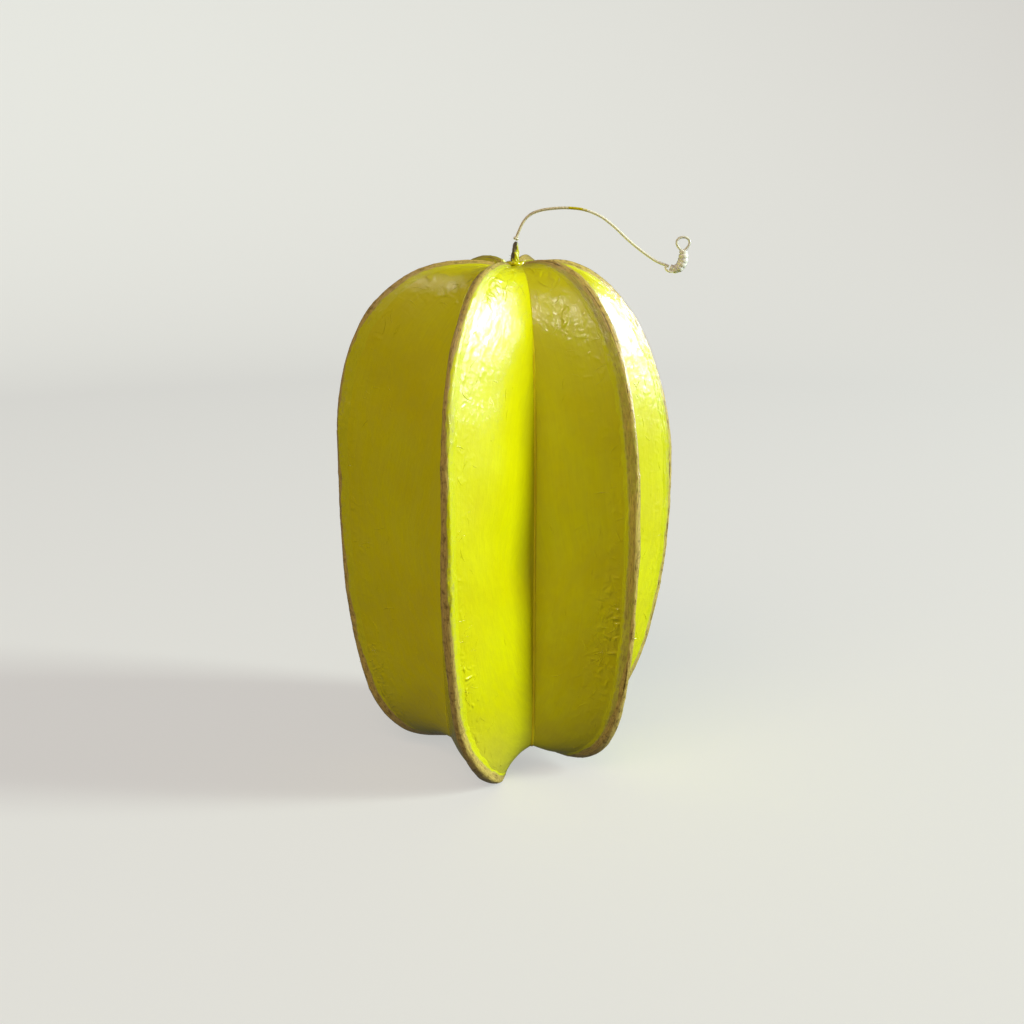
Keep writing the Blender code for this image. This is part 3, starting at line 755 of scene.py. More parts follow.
def panel(index, side):
    """One card panel, from the lobe's middle plane over the ridge to the valley."""
    lobe = LOBES[index]
    station, along = even_stations(lobe, PANEL_START, PANEL_END, PANEL_ROWS)
    share = np.tile(np.linspace(0.0, 1.0, PANEL_COLUMNS), (PANEL_ROWS, 1))
    face, normal, width = skin(index, side, station, along, share)
    ridge = plane_points(ridge_outline(lobe), lobe.azimuth, station, UNDER_STRIP)
    inner_ridge = plane_points(ridge_outline(lobe), lobe.azimuth, station, UNDER_STRIP + RIDGE_WALL)
    inner_end = plane_points(valley_outline, valley_azimuth(index, side), station, CARD)
    back_share = np.linspace(1.0, 0.0, INNER_COLUMNS)[None, :]
    back = inner_ridge[:, None] + (inner_end - inner_ridge)[:, None] * back_share[..., None]
    back = back + normal[:, None] * face_offset(back_share, side, width)[..., None]
    loops = np.concatenate([ridge[:, None], face, back], axis=1)
    across = np.concatenate([0 * width, share * width, back_share * width], axis=1)
    places = np.stack([across, np.repeat(along[:, None], across.shape[1], axis=1)], axis=-1)
    name = f"{lobe.name}_lobe_{'right' if side > 0 else 'left'}_panel"
    piece = loft(name + "_skin", settled(loops), places, LEMON)
    # no creases on the inside
    creased = np.zeros(across.shape)
    creased[:, 1:PANEL_COLUMNS + 1] = gathering(lobe, side, face, share * width, along)
    give_attribute(piece, "creased", creased)
    settle(piece, "gloss_lemon_paint", name)
    return piece


# The strips' torn borders, and how much further the bare band reaches, in millimetres, at the crown
# and at the foot: most at the first number that follows, in millimetres along the strip or in
# stations, and fading over the second
TEAR_LENGTH, TEAR_DEPTH = 9.0 * MM, 1.6 * MM
CROWN_BARE, CROWN_BARE_ALONG = 2.6, (35.0, 55.0)
FOOT_BARE, FOOT_BARE_STATIONS = 9.0, (3.0, 0.6)

# The strips' relief: fine creases along the fold, soft lumps, and torn lengths that overlap in steps
FOLD_CREASE_LENGTH, FOLD_CREASE_WIDTH, FOLD_CREASE_HEIGHT = 9.0 * MM, 1.6 * MM, 0.22 * MM
FOLD_CREASE_PATCH = 20.0 * MM
LUMP_SIZE, LUMP_HEIGHT = 10.0 * MM, 0.18 * MM
TORN_LENGTH, TORN_SLANT, TORN_STEP = 84.0 * MM, 40.0 * MM, 0.30 * MM
STRIP_BACK_LIFT = 0.2 * MM


def strip_section(index, station, along, outer):
    """Points across a folded strip at each station, from its left border to its right one: its
    outside, or its inside, which lies a little way in the panels."""
    lobe = LOBES[index]
    rises = (1.0, 0.5, -0.15) if outer else (-0.6, -0.6, -0.6)
    sides = {}
    for side in (-1, 1):
        corner, end, normal = panel_frame(index, side, station, UNDER_STRIP, UNDER_STRIP)
        width = np.linalg.norm(end - corner, axis=1)
        spots = np.stack([along / TEAR_LENGTH, 0 * along, 0 * along], axis=-1)
        ragged = (lumps(spots, 300 + index * 2 + side) * TEAR_DEPTH
                  + lumps(spots * 3, 320 + side) * 0.5 * MM)
        reach = np.minimum(STRIP_FLANGE + ragged, 0.45 * width) / width
        share = np.stack([0 * reach, 0.45 * reach, reach], axis=1)
        points, normal, width = skin(index, side, station, along, share)
        sides[side] = points + normal[:, None] * (np.array(rises) * MM)[None, :, None]
    profile = ridge_outline(lobe)
    above = plane_points(profile, lobe.azimuth, station, -1 * MM)
    up = unit(above - plane_points(profile, lobe.azimuth, station))
    crest = (sides[-1][:, 0] + sides[1][:, 0]) / 2 + up * (EDGE_ROUND if outer else 0.0)
    return np.stack([sides[-1][:, 2], sides[-1][:, 1], sides[-1][:, 0], crest,
                     sides[1][:, 0], sides[1][:, 1], sides[1][:, 2]])


def bareness_and_shade(name, index, places, station):
    """How much brown paper shows at each place across and along a strip: 0 is full paint, 1 is bare
    paper and SHADE_LINE_BARENESS a dark line of painted shade. More is bare near the crown, where the
    strips gather, and at the foot."""
    wear = WEAR[name]
    across, along = places[..., 0] / MM, places[..., 1] / MM
    spots = np.stack([across / 9.0, along / 16.0, 0 * along + index], axis=-1)
    ragged = lumps(spots, 500 + index) * 1.6 + lumps(spots * 4, 520 + index) * 0.6
    crown_bare = CROWN_BARE * bell(along, *CROWN_BARE_ALONG)
    foot_bare = FOOT_BARE * bell(station[:, None], *FOOT_BARE_STATIONS)
    reach = np.where(across < 0, wear.left, wear.right) + (crown_bare + foot_bare)
    bare = np.clip((reach + ragged - np.abs(across)) / 1.2 + 0.5, 0, 1)
    thin = np.where(across < 0, wear.wash_left, wear.wash_right)
    wash = thin * np.clip(1 + lumps(spots / 2, 540 + index) * 0.7, 0, 1.3)
    border = np.clip((STRIP_FLANGE / MM - np.abs(across)) / 2.0, 0, 1)
    # a dark line of painted shade along the left border of the bare band, where the fold turns away from the
    # light
    shade_band = np.clip(1 - np.abs(across + wear.left + 0.6) / 0.8, 0, 1)
    shade_line = shade_band * np.clip(0.7 + ragged * 0.5, 0, 1)
    return np.maximum(np.maximum(bare, wash * border), shade_line * SHADE_LINE_BARENESS)


def edge_strip(index):
    """Brown paper folded over a ridge in torn lengths, creased where it bends."""
    lobe = LOBES[index]
    station, along = even_stations(lobe, STRIP_START, STRIP_END, STRIP_ROWS)
    outer = smooth_curve(strip_section(index, station, along, True), STRIP_COLUMNS).transpose(1, 0, 2)
    inner = smooth_curve(strip_section(index, station, along, False), STRIP_INNER).transpose(1, 0, 2)
    steps = np.linalg.norm(np.diff(outer, axis=1), axis=2)
    travel = np.concatenate([np.zeros((len(station), 1)), np.cumsum(steps, axis=1)], axis=1)
    crest = STRIP_COLUMNS // 2
    across = travel - travel[:, crest][:, None]
    along_grid = np.repeat(along[:, None], STRIP_COLUMNS, axis=1)
    normal = unit(np.cross(np.gradient(outer, axis=1), np.gradient(outer, axis=0)))
    upward = outer[:, crest] - inner[:, STRIP_INNER // 2]
    normal *= np.sign((normal[:, crest] * upward).sum(axis=1))[:, None, None]
    # creases run mostly along the fold
    spots = np.stack([along_grid / FOLD_CREASE_LENGTH, across / FOLD_CREASE_WIDTH, 0 * across], axis=-1)
    crease = np.maximum(1 - np.abs(lumps(spots, 400 + index)) * 4, 0)
    patch = np.clip(lumps(outer / FOLD_CREASE_PATCH, 420 + index) * 2 + 0.6, 0, 1)
    rise = crease * patch * FOLD_CREASE_HEIGHT + lumps(outer / LUMP_SIZE, 440 + index) * LUMP_HEIGHT
    # each torn length of paper overlaps the next one in a step
    phase = along_grid / TORN_LENGTH + across / TORN_SLANT + lumps(spots / 3, 460 + index) * 0.2
    rise += (1 - (phase - np.floor(phase))) ** 8 * TORN_STEP
    # the relief dies out over the last three columns at each border
    hold = np.clip((crest - np.abs(np.arange(STRIP_COLUMNS) - crest)) / 3, 0, 1)
    outer = outer + normal * (rise * hold)[..., None]
    # nothing reaches under the floor that the feet stand on
    outer[..., 2] = np.maximum(outer[..., 2], 0.0)
    inner[..., 2] = np.maximum(inner[..., 2], STRIP_BACK_LIFT)
    loops = np.concatenate([outer, inner[:, ::-1]], axis=1)
    back = np.repeat(across[:, -1:], STRIP_INNER, axis=1)
    places = np.stack([np.concatenate([across, back], axis=1),
                       np.repeat(along[:, None], STRIP_COLUMNS + STRIP_INNER, axis=1)], axis=-1)
    node = f"{lobe.name}_lobe_edge_strip"
    piece = loft(node + "_paper", settled(loops), places, KRAFT)
    give_attribute(piece, "bareness_and_shade", bareness_and_shade(lobe.name, index, places, station))
    settle(piece, "brown_edge_paper", node)


# What repeats or follows a path --------------------------------------------------------------

def geometry_tree(name, inputs):
    """A new Geometry Nodes tree with a geometry input and output and other named inputs."""
    tree = bpy.data.node_groups.new(name, "GeometryNodeTree")
    tree.interface.new_socket("Geometry", in_out="INPUT", socket_type="NodeSocketGeometry")
    for label, kind, value in inputs:
        socket = tree.interface.new_socket(label, in_out="INPUT", socket_type=kind)
        socket.default_value = value
    tree.interface.new_socket("Geometry", in_out="OUTPUT", socket_type="NodeSocketGeometry")
    return tree, add_node(tree, "NodeGroupInput").outputs


def end_tree(tree, geometry, material):
    """Closes a tree: real meshes, smooth, in one material."""
    real = add_node(tree, "GeometryNodeRealizeInstances", {0: geometry})
    smooth = add_node(tree, "GeometryNodeSetShadeSmooth", {0: real})
    painted = add_node(tree, "GeometryNodeSetMaterial", {0: smooth, "Material": material})
    add_node(tree, "NodeGroupOutput", {0: painted})


def grow(name, source, tree, slot, **values):
    """Runs a tree on a source object and keeps the result as a plain mesh of its own."""
    modifier = source.modifiers.new("grow", "NODES")
    modifier.node_group = tree
    for item in tree.interface.items_tree:
        if item.in_out == "INPUT" and item.name in values:
            modifier[item.identifier] = values[item.name]
    bpy.context.view_layer.update()
    evaluated = source.evaluated_get(bpy.context.evaluated_depsgraph_get())
    data = bpy.data.meshes.new_from_object(evaluated)
    source.modifiers.remove(modifier)
    data.name = name
    piece = put_in_scene(name, data)
    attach(piece, "root")
    return piece


def crease_tree():
    """Short raised creases in the wet paper, thick in the middle, laid on a face at any angle."""
    tree, given = geometry_tree("paper_creases", (
        ("Density", "NodeSocketFloat", 26000.0), ("Length", "NodeSocketFloat", 7.0 * MM),
        ("Thickness", "NodeSocketFloat", 0.16 * MM), ("Seed", "NodeSocketInt", 1)))
    near = add_node(tree, "GeometryNodeInputNamedAttribute", {"Name": "creased"}, data_type="FLOAT")
    density = add_node(tree, "ShaderNodeMath", {0: near, 1: given["Density"]}, operation="MULTIPLY")
    points = add_node(tree, "GeometryNodeDistributePointsOnFaces", {
        "Mesh": given["Geometry"], "Density": density, "Seed": given["Seed"]})
    arc = add_node(tree, "GeometryNodeCurveQuadraticBezier", {
        "Resolution": 8, "Start": (-0.5, 0.0, 0.0), "Middle": (0.1, 0.16, 0.0), "End": (0.5, -0.05, 0.0)})
    place = add_node(tree, "GeometryNodeSplineParameter")
    arch = add_node(tree, "ShaderNodeMath", {0: place, 1: math.pi}, operation="MULTIPLY")
    taper = add_node(tree, "ShaderNodeMath", {0: arch}, operation="SINE")
    thick = add_node(tree, "ShaderNodeMath", {0: given["Thickness"], 1: given["Length"]}, operation="DIVIDE")
    radius = add_node(tree, "ShaderNodeMath", {0: taper, 1: thick}, operation="MULTIPLY")
    profile = add_node(tree, "GeometryNodeCurvePrimitiveCircle", {"Resolution": 6, "Radius": 1.0})
    crease = add_node(tree, "GeometryNodeCurveToMesh", {
        "Curve": arc, "Profile Curve": profile, "Scale": radius, "Fill Caps": True})
    spin = add_node(tree, "FunctionNodeRandomValue", {
        0: (0.0, 0.0, 0.0), 1: (0.0, 0.0, math.tau), "Seed": given["Seed"]}, data_type="FLOAT_VECTOR")
    turn = add_node(tree, "FunctionNodeEulerToRotation", {0: spin})
    facing = add_node(tree, "FunctionNodeRotateRotation", {0: points.outputs["Rotation"], 1: turn},
                      rotation_space="LOCAL")
    size = add_node(tree, "FunctionNodeRandomValue", {"Seed": given["Seed"]}, data_type="FLOAT")
    sized = add_node(tree, "ShaderNodeMath", {0: size, 1: 0.5}, operation="ADD")
    scale = add_node(tree, "ShaderNodeMath", {0: sized, 1: given["Length"]}, operation="MULTIPLY")
    copies = add_node(tree, "GeometryNodeInstanceOnPoints", {
        "Points": points, "Instance": crease, "Rotation": facing, "Scale": scale})
    end_tree(tree, copies, LEMON_BEAD)
    return tree


def seam_tree():
    """A bead of glue and paint of uneven thickness along a line."""
    tree, given = geometry_tree("glue_bead", (
        ("Radius", "NodeSocketFloat", 0.95 * MM), ("Step", "NodeSocketFloat", 1.5 * MM),
        ("Waviness", "NodeSocketFloat", 0.5)))
    line = add_node(tree, "GeometryNodeMeshToCurve", {0: given["Geometry"]})
    even = add_node(tree, "GeometryNodeResampleCurve", {"Curve": line, "Length": given["Step"]},
                    mode="LENGTH")
    spot = add_node(tree, "GeometryNodeInputPosition")
    uneven = add_node(tree, "ShaderNodeTexNoise", {"Vector": spot, "Scale": cell(16.67)})
    centred = add_node(tree, "ShaderNodeMath", {0: uneven, 1: 0.5}, operation="SUBTRACT")
    wave = add_node(tree, "ShaderNodeMath", {0: centred, 1: given["Waviness"], 2: 1.0},
                    operation="MULTIPLY_ADD")
    radius = add_node(tree, "ShaderNodeMath", {0: wave, 1: given["Radius"]}, operation="MULTIPLY")
    profile = add_node(tree, "GeometryNodeCurvePrimitiveCircle", {"Resolution": 10, "Radius": 1.0})
    bead = add_node(tree, "GeometryNodeCurveToMesh", {
        "Curve": even, "Profile Curve": profile, "Scale": radius, "Fill Caps": True})
    end_tree(tree, bead, GLUE)
    return tree


def tape_tree():
    """Turns of tape along a line: thin flat bands, tilted and turned a little at random, each a bit
    larger than the core it goes round. Width, thickness and rounding are shares of its girth."""
    tree, given = geometry_tree("tape_turns", (
        ("Turns", "NodeSocketInt", 7), ("Width", "NodeSocketFloat", 0.78),
        ("Thickness", "NodeSocketFloat", 0.06), ("Rounding", "NodeSocketFloat", 0.025),
        ("Tilt", "NodeSocketFloat", 0.26), ("Seed", "NodeSocketInt", 4)))
    line = add_node(tree, "GeometryNodeMeshToCurve", {0: given["Geometry"]})
    girth = add_node(tree, "GeometryNodeInputNamedAttribute", {"Name": "girth"}, data_type="FLOAT")
    points = add_node(tree, "GeometryNodeCurveToPoints", {0: line, "Count": given["Turns"]}, mode="COUNT")
    circle = add_node(tree, "GeometryNodeCurvePrimitiveCircle", {"Resolution": 40, "Radius": 1.0})
    band = add_node(tree, "GeometryNodeCurvePrimitiveQuadrilateral", {
        "Width": given["Thickness"], "Height": given["Width"]})
    rounded = add_node(tree, "GeometryNodeFilletCurve", {"Curve": band, "Radius": given["Rounding"]})
    turn = add_node(tree, "GeometryNodeCurveToMesh", {"Curve": circle, "Profile Curve": rounded})
    tilt_low = add_node(tree, "ShaderNodeMath", {0: given["Tilt"], 1: -1.0}, operation="MULTIPLY")
    low = add_node(tree, "ShaderNodeCombineXYZ", {"X": tilt_low, "Y": tilt_low})
    high = add_node(tree, "ShaderNodeCombineXYZ", {"X": given["Tilt"], "Y": given["Tilt"], "Z": math.tau})
    tilt = add_node(tree, "FunctionNodeRandomValue", {0: low, 1: high, "Seed": given["Seed"]},
                    data_type="FLOAT_VECTOR")
    rocked = add_node(tree, "FunctionNodeEulerToRotation", {0: tilt})
    facing = add_node(tree, "FunctionNodeRotateRotation", {0: points.outputs["Rotation"], 1: rocked},
                      rotation_space="LOCAL")
    copies = add_node(tree, "GeometryNodeInstanceOnPoints", {
        "Points": points, "Instance": turn, "Rotation": facing, "Scale": girth})
    end_tree(tree, copies, TAPE)
    return tree


def speck_tree():
    """Small flat drops and specks of dried paint on a face."""
    tree, given = geometry_tree("paint_specks", (
        ("Density", "NodeSocketFloat", 500.0), ("Size", "NodeSocketFloat", 0.45 * MM),
        ("Seed", "NodeSocketInt", 1)))
    points = add_node(tree, "GeometryNodeDistributePointsOnFaces", {
        "Mesh": given["Geometry"], "Density": given["Density"], "Seed": given["Seed"]})
    drop = add_node(tree, "GeometryNodeMeshIcoSphere", {"Radius": 1.0, "Subdivisions": 3})
    pressed = add_node(tree, "GeometryNodeTransform", {0: drop, "Scale": (0.8, 1.0, 0.35)})
    chance = add_node(tree, "FunctionNodeRandomValue", {"Seed": given["Seed"]}, data_type="FLOAT")
    spread_out = add_node(tree, "ShaderNodeMath", {0: chance, 1: 3.0}, operation="POWER")
    grown = add_node(tree, "ShaderNodeMath", {0: spread_out, 1: 1.6, 2: 0.45}, operation="MULTIPLY_ADD")
    size = add_node(tree, "ShaderNodeMath", {0: grown, 1: given["Size"]}, operation="MULTIPLY")
    copies = add_node(tree, "GeometryNodeInstanceOnPoints", {
        "Points": points, "Instance": pressed, "Rotation": points.outputs["Rotation"], "Scale": size})
    end_tree(tree, copies, LEMON_BEAD)
    return tree


def fibre_tree():
    """Thin paper fibres that stand off a torn surface and droop."""
    tree, given = geometry_tree("loose_fibres", (
        ("Density", "NodeSocketFloat", 250000.0), ("Length", "NodeSocketFloat", 2.0 * MM),
        ("Thickness", "NodeSocketFloat", 0.09 * MM), ("Seed", "NodeSocketInt", 3)))
    near = add_node(tree, "GeometryNodeInputNamedAttribute", {"Name": "creased"}, data_type="FLOAT")
    density = add_node(tree, "ShaderNodeMath", {0: near, 1: given["Density"]}, operation="MULTIPLY")
    points = add_node(tree, "GeometryNodeDistributePointsOnFaces", {
        "Mesh": given["Geometry"], "Density": density, "Seed": given["Seed"]})
    arc = add_node(tree, "GeometryNodeCurveQuadraticBezier", {
        "Resolution": 8, "Start": (0.0, 0.0, -0.1), "Middle": (0.25, 0.0, 0.35), "End": (0.9, 0.2, 0.55)})
    thick = add_node(tree, "ShaderNodeMath", {0: given["Thickness"], 1: given["Length"]}, operation="DIVIDE")
    place = add_node(tree, "GeometryNodeSplineParameter")
    taper = add_node(tree, "ShaderNodeMath", {0: place, 1: -0.8, 2: 1.0}, operation="MULTIPLY_ADD")
    radius = add_node(tree, "ShaderNodeMath", {0: taper, 1: thick}, operation="MULTIPLY")
    profile = add_node(tree, "GeometryNodeCurvePrimitiveCircle", {"Resolution": 5, "Radius": 1.0})
    fibre = add_node(tree, "GeometryNodeCurveToMesh", {
        "Curve": arc, "Profile Curve": profile, "Scale": radius, "Fill Caps": True})
    chance = add_node(tree, "FunctionNodeRandomValue", {"Seed": given["Seed"]}, data_type="FLOAT")
    grown = add_node(tree, "ShaderNodeMath", {0: chance, 1: 0.4}, operation="ADD")
    size = add_node(tree, "ShaderNodeMath", {0: grown, 1: given["Length"]}, operation="MULTIPLY")
    copies = add_node(tree, "GeometryNodeInstanceOnPoints", {
        "Points": points, "Instance": fibre, "Rotation": points.outputs["Rotation"], "Scale": size})
    end_tree(tree, copies, TWISTED)
    return tree


# How deep the glue lies in a valley, how much less it does where it stands proud, and the station from
# which it does
SEAM_DEPTH, SEAM_PROUD = 1.15 * MM, 0.90 * MM
PROUD_FROM, PROUD_OVER = 1.45, 0.15


def valley_seams():
    """The glue bead where two lobes' panels meet, in each valley: proud of the paint in the front
    one from the shoulder down, sunk in the others."""
    tree = seam_tree()
    station = np.linspace(0.5, 4.97, 500)
    for index, lobe in enumerate(LOBES):
        proud = (lobe.name == "front_left") * np.clip((station - PROUD_FROM) / PROUD_OVER, 0, 1)
        azimuth = valley_azimuth(index, 1)
        points = plane_points(valley_outline, azimuth, station)
        inward = unit(points - plane_points(valley_outline, azimuth, station, -1 * MM))
        points = settled(points + inward * (SEAM_DEPTH - SEAM_PROUD * proud)[:, None])
        line = guide_line("valley_line", points)
        grow(f"{lobe.name}_valley_seam", line, tree, "gloss_lemon_paint")
        bpy.data.objects.remove(line)


# Wire ----------------------------------------------------------------------------------------

# Routes and places from the axis
WIRE_ROUTE = MM * np.array((
    (5.5, 0.0, 305.9), (7.1, 0.0, 309.8), (9.6, -0.2, 314.8), (13.4, -0.4, 318.8),
    (19.4, -0.8, 321.2), (27.5, -1.4, 322.3), (35.9, -2.0, 322.4), (44.4, -2.6, 321.2),
    (52.8, -3.2, 317.8), (60.4, -3.8, 312.2), (68.1, -4.4, 305.0), (75.9, -4.9, 298.6),
    (84.0, -5.4, 293.0), (91.4, -5.8, 289.8),
))
WRAP_ROUTE = MM * np.array((
    (92.9, -6.0, 288.9), (95.3, -6.0, 288.3), (97.8, -6.0, 289.8), (99.2, -6.0, 292.5),
    (99.6, -6.0, 295.3), (99.5, -6.0, 297.7),
))
WRAP_RADII = (1.9, 2.3, 2.7, 2.8, 2.6, 2.2)
FOLD_ROUTE = MM * np.array((
    (94.4, -7.4, 287.4), (92.8, -7.7, 287.0), (91.2, -7.6, 287.2), (89.9, -7.2, 288.2),
    (89.4, -6.6, 289.6),
))
FOLD_RADIUS = 0.62 * MM
EYELET_FOOT = MM * np.array((99.3, -6.0, 297.6))
EYELET_HALF_WIDTH = 4.3 * MM
EYELET_HEIGHT = 7.7 * MM
# The eyelet's two ends in the tape, from its foot
EYELET_START = MM * np.array(((-0.5, 0.3, -5.0), (-0.4, 0.2, -2.0)))
EYELET_END = MM * np.array(((0.5, -0.2, -2.0), (0.6, -0.3, -5.0)))
TWIST_TURNS, TWIST_RADIUS, TWIST_RISE = 1.6, 1.35 * MM, 1.1 * MM
BINDING_RADIUS = 0.36 * MM


def rounded_ends(count, over, least):
    """Shares of the full radius along a tube whose ends are rounded off over a number of rows."""
    row = np.arange(count)
    return np.sqrt(np.clip(np.minimum(row, count - 1 - row) / over + least, 0, 1))


def hanging_wire():
    """The bent wire from the stub's top to the tape."""
    points = smooth_curve(np.array(AXIS) + WIRE_ROUTE, 140)
    wire = tube("bent_hanging_wire", points, [WIRE_RADIUS] * len(points), 12, HANGING_WIRE)
    settle(wire, "coated_wire", "hanging_wire")
    length = float(np.linalg.norm(np.diff(points, axis=0), axis=1).sum())
    return wire, points, length


def crown_lip():
    """The low lip of painted pulp round the stub's foot, uneven and torn open in places."""
    centre = np.array(AXIS + stub_middle(PIT_Z + 0.9 * MM))
    count, sides = 120, 18
    turns = np.arange(count) * math.tau / count
    circle = np.stack([np.cos(turns), np.sin(turns), 0 * turns], axis=1)
    wander = lumps(circle * 1.5, 600)
    points = centre + circle * (RING_RADIUS * (1 + 0.10 * wander))[:, None]
    points[:, 2] += lumps(circle * 2.2, 610) * 0.7 * MM
    thickness = (1.0 + 0.5 * lumps(circle * 3.0, 620)) * MM
    lip = tube("crown_lip", points, thickness, sides, LEMON_BEAD, closed=True)
    settle(lip, "gloss_lemon_paint", "crown_ring")


def twisted_stub():
    """Paper pulp twisted round the wire: three lobes wind up it, and its top is torn."""
    rows, sides, turns = 110, 48, 1.4
    share = np.linspace(0.0, 1.0, rows)
    points = np.array([AXIS + STUB_FOOT.lerp(STUB_TOP, t) for t in share])
    radius = np.interp(share, np.linspace(0, 1, len(STUB_RADII)), STUB_RADII) * MM
    angle, up = np.meshgrid(np.arange(sides) * math.tau / sides, share)
    winding = angle + up * turns * math.tau
    flutes = 1 + 0.10 * np.cos(3 * winding) + 0.05 * np.cos(7 * winding + 1.0)
    around = np.stack([np.cos(angle), np.sin(angle), up * 5], axis=-1)
    radii = radius[:, None] * (flutes + lumps(around * 2.0, 640) * 0.10)
    # the last rows draw in to the wire unevenly
    torn = np.clip((up - 0.96 - 0.03 * lumps(around * 1.5, 650)) / 0.04, 0, 1)
    stub = tube("twisted_paper_stub", points, radii * (1 - 0.45 * torn), sides, TWISTED)
    # the left side, away from the light, is bare pulp and painted shade, most of all near the top, and shaggy
    # in a band below it
    to_right = np.array([v.co.x for v in stub.data.vertices]) - np.repeat(points[:, 0], sides)
    height = up.ravel()
    give_attribute(stub, "bareness_and_shade", np.clip(0.5 - to_right / (3.0 * MM) + (height - 0.80) * 2.2, 0, 1))
    shaggy = np.clip(-to_right / (2.0 * MM), 0, 1) * (height > 0.62) * (height < 0.75)
    give_attribute(stub, "creased", shaggy)
    settle(stub, "twisted_paper", "stub")
    return stub


def wire_twist():
    """A turn and a half of the wire's paper binding, come loose at the top of the stub."""
    centre = np.array(AXIS + STUB_TOP + Vector((0.2, 0.0, 1.6)) * MM)
    direction = Vector((0.35, 0.15, 1.0)).normalized()
    first = direction.orthogonal().normalized()
    second = direction.cross(first)
    share = np.linspace(0.0, 1.0, 70)
    angle = share * TWIST_TURNS * math.tau
    ring = np.outer(np.cos(angle), first) + np.outer(np.sin(angle), second)
    points = centre + ring * TWIST_RADIUS + np.outer((share - 0.5) * TWIST_RISE, direction)
    radii = BINDING_RADIUS * rounded_ends(len(points), 3, 0.3)
    twist = tube("loose_wire_twist", points, radii, 10, BARE_WIRE)
    settle(twist, "coated_wire", "wire_twist")


def tape_wrap():
    """The lump of tape: a wrinkled core, and turns of tape wound over it at uneven angles."""
    rows, sides = 90, 40
    points = smooth_curve(np.array(AXIS) + WRAP_ROUTE, rows)
    share = np.linspace(0, len(WRAP_RADII) - 1, rows)
    radius = np.interp(share, np.arange(len(WRAP_RADII)), WRAP_RADII) * MM
    angle, along = np.meshgrid(np.arange(sides) * math.tau / sides, share)
    spots = np.stack([np.cos(angle) * 1.6, np.sin(angle) * 1.6, along * 1.5], axis=-1)
    wrinkles = 1 + 0.10 * lumps(spots, 700) + 0.06 * lumps(spots * 2.7, 710)
    radii = (radius * rounded_ends(rows, 6, 0.15))[:, None] * wrinkles * 0.94
    core = tube("tape_wrap_core", points, radii, sides, TAPE)
    settle(core, "white_tape", "tape_wrap")
    line = guide_line("wrap_line", points)
    give_attribute(line, "girth", radius)
    turns = grow("tape_wrap_turns", line, tape_tree(), "white_tape")
    bpy.data.objects.remove(line)
    return core, turns


def eyelet():
    """A teardrop of thin white wire whose ends go down into the tape."""
    count = 90
    turn = np.arange(1, count + 1) * math.tau / (count + 1)
    out = -EYELET_HALF_WIDTH * np.sin(turn) * np.sin(turn / 2) ** 0.6
    up = EYELET_HEIGHT / 2 * (1 - np.cos(turn)) + EYELET_RADIUS
    teardrop = np.stack([out, 0 * turn, up], axis=1)
    points = np.concatenate([EYELET_START, teardrop, EYELET_END])
    path = smooth_curve(np.array(AXIS) + EYELET_FOOT + points, 200)
    loop = tube("wire_eyelet_loop", path, [EYELET_RADIUS] * len(path), 12, WHITE_WIRE)
    settle(loop, "tinned_wire", "eyelet")
    return loop


def wire_fold():
    """The hanging wire's cut end, turned back beside the tape."""
    path = smooth_curve(np.array(AXIS) + FOLD_ROUTE, 60)
    fold = tube("wire_fold_back", path, [FOLD_RADIUS] * len(path), 12, BARE_WIRE)
    settle(fold, "coated_wire", "wire_fold")
    return fold


# Camera, light and floor ---------------------------------------------------------------------

CAMERA_DISTANCE = 0.8268
CAMERA_ELEVATION, CAMERA_ROLL = 13.2, -0.45
CAMERA_LENS, SENSOR_WIDTH = 49.22, 36.0
CAMERA_SHIFT = (0.0034, -0.0102)
LOOK_AT_HEIGHT = 152.9 * MM
LIT_HEIGHT = 150.0 * MM


def camera():
    """A little above the fruit, looking down on its middle from the front."""
    elevation = math.radians(CAMERA_ELEVATION)
    back = Vector((0.0, -math.cos(elevation), math.sin(elevation)))
    right = Vector((1.0, 0.0, 0.0))
    turn = Matrix((right, back.cross(right), back)).transposed().to_4x4()
    turn.translation = AXIS + Vector((0.0, 0.0, LOOK_AT_HEIGHT)) + back * CAMERA_DISTANCE
    data = bpy.data.cameras.new("camera")
    data.sensor_width = SENSOR_WIDTH
    data.lens = CAMERA_LENS
    data.shift_x, data.shift_y = CAMERA_SHIFT
    view = put_in_scene("camera", data)
    view.matrix_world = turn @ Matrix.Rotation(math.radians(CAMERA_ROLL), 4, "Z")
    bpy.context.scene.camera = view


def soft_light(name, azimuth, elevation, distance, size, power, tint, roll=0.0, glossy=True,
               diffuse=True):
    """A rectangular softbox that faces the fruit's middle, turned by roll degrees. Light without
    its glossy or its diffuse part is a softbox behind a polarising sheet."""
    data = bpy.data.lights.new(name, "AREA")
    data.shape = "RECTANGLE"
    data.size, data.size_y = size
    data.energy = power
    data.color = colour(tint)[:3]
    tilt = math.radians(elevation)
    away = Vector(outward(azimuth)) * math.cos(tilt) + Vector((0.0, 0.0, math.sin(tilt)))
    facing = away.to_track_quat("Z", "Y").to_matrix().to_4x4() @ Matrix.Rotation(math.radians(roll), 4, "Z")
    facing.translation = AXIS + Vector((0.0, 0.0, LIT_HEIGHT)) + away * distance
    light = put_in_scene(name, data)
    light.matrix_world = facing
    light.visible_camera = False
    light.visible_glossy = glossy
    light.visible_diffuse = diffuse


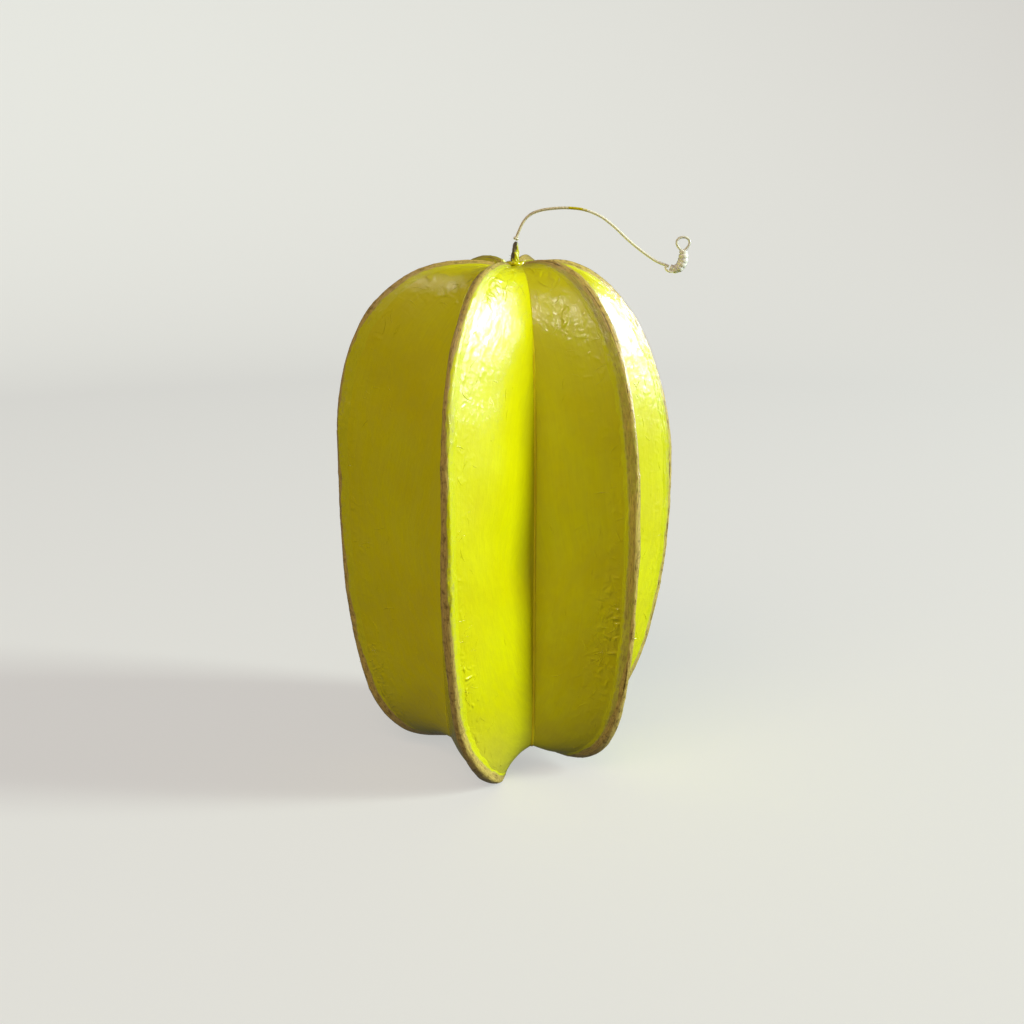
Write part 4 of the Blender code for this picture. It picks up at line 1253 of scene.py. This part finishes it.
def sweep():
    """A pale floor that curves up into a wall all round, so no edge shows from any side. It neither
    lights the fruit nor is mirrored in it."""
    flat, bend, top, turns, steps = 1.6, 0.9, 2.6, 96, 12
    profile = [(0.0, 0.0), (flat, 0.0)]
    for k in range(1, steps + 1):
        angle = k / steps * math.pi / 2
        profile.append((flat + bend * math.sin(angle), bend * (1 - math.cos(angle))))
    profile.append((flat + bend, top))
    points, faces = [], []
    for radius, height in profile:
        for k in range(turns):
            angle = math.tau * k / turns
            points.append((radius * math.cos(angle), radius * math.sin(angle), height))
    for row in range(len(profile) - 1):
        for k in range(turns):
            low, high = row * turns, (row + 1) * turns
            faces.append((low + k, low + (k + 1) % turns, high + (k + 1) % turns, high + k))
    data = bpy.data.meshes.new("pale_sweep")
    data.from_pydata(points, [], faces)
    data.shade_smooth()
    material = new_material("pale_studio_paper", {
        "Roughness": 0.9, "Base Color": "#A2A4AC", "Specular IOR Level": 0.1,
        "Emission Color": "#E4E4E2", "Emission Strength": 0.62})[0]
    data.materials.append(material)
    stage = put_in_scene("pale_sweep", data)
    stage.visible_diffuse = False
    stage.visible_glossy = False
    stage.visible_shadow = False


def studio():
    """A dim warm surround and the lights: one window for the gloss, a key and a fill for the colour,
    and two small glints."""
    world = bpy.data.worlds.new("studio")
    world.use_nodes = True
    background = world.node_tree.nodes["Background"]
    connect(world.node_tree, background, {"Color": "#F2EDE4", "Strength": 0.10})
    bpy.context.scene.world = world
    bpy.context.scene.view_settings.view_transform = "Standard"
    soft_light("window", 103, 15, 2.3, (1.15, 0.66), 76, "#E2EEFF", roll=20.0, diffuse=False)
    soft_light("key", 82, 19, 6.0, (1.1, 3.4), 475, "#F4FFE6", glossy=False)
    soft_light("fill", -25, 42, 6.0, (4.2, 4.2), 153, "#FFDDB0", glossy=False)
    soft_light("glints", -19, 41, 2.0, (0.22, 0.22), 6.5, "#FFF8EC", diffuse=False)
    soft_light("shoulder_glints", -86, 57, 2.0, (0.16, 0.14), 4.0, "#FFF8EC", diffuse=False)


camera()
wire, wire_points, wire_length = hanging_wire()
crease_maker, speck_maker = crease_tree(), speck_tree()
for lobe_index in range(len(LOBES)):
    for side in (-1, 1):
        face = panel(lobe_index, side)
        plain = face.name.replace("_skin", "")
        seed = lobe_index * 2 + side + 5
        grow(plain + "_creases", face, crease_maker, "gloss_lemon_paint", Seed=seed)
        grow(plain + "_paint_specks", face, speck_maker, "gloss_lemon_paint", Seed=seed + 20)
    edge_strip(lobe_index)
valley_seams()
crown_lip()
grow("stub_loose_fibres", twisted_stub(), fibre_tree(), "twisted_paper")
wire_twist()
tape_core, tape_turns = tape_wrap()
eyelet_loop, fold = eyelet(), wire_fold()
for node_name, material in (("crown_washer", CARD_STOCK), ("toggle", BIRCH), ("anchor_wire", BARE_WIRE)):
    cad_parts[node_name].data.materials.clear()
    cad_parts[node_name].data.materials.append(material)
sweep()
studio()
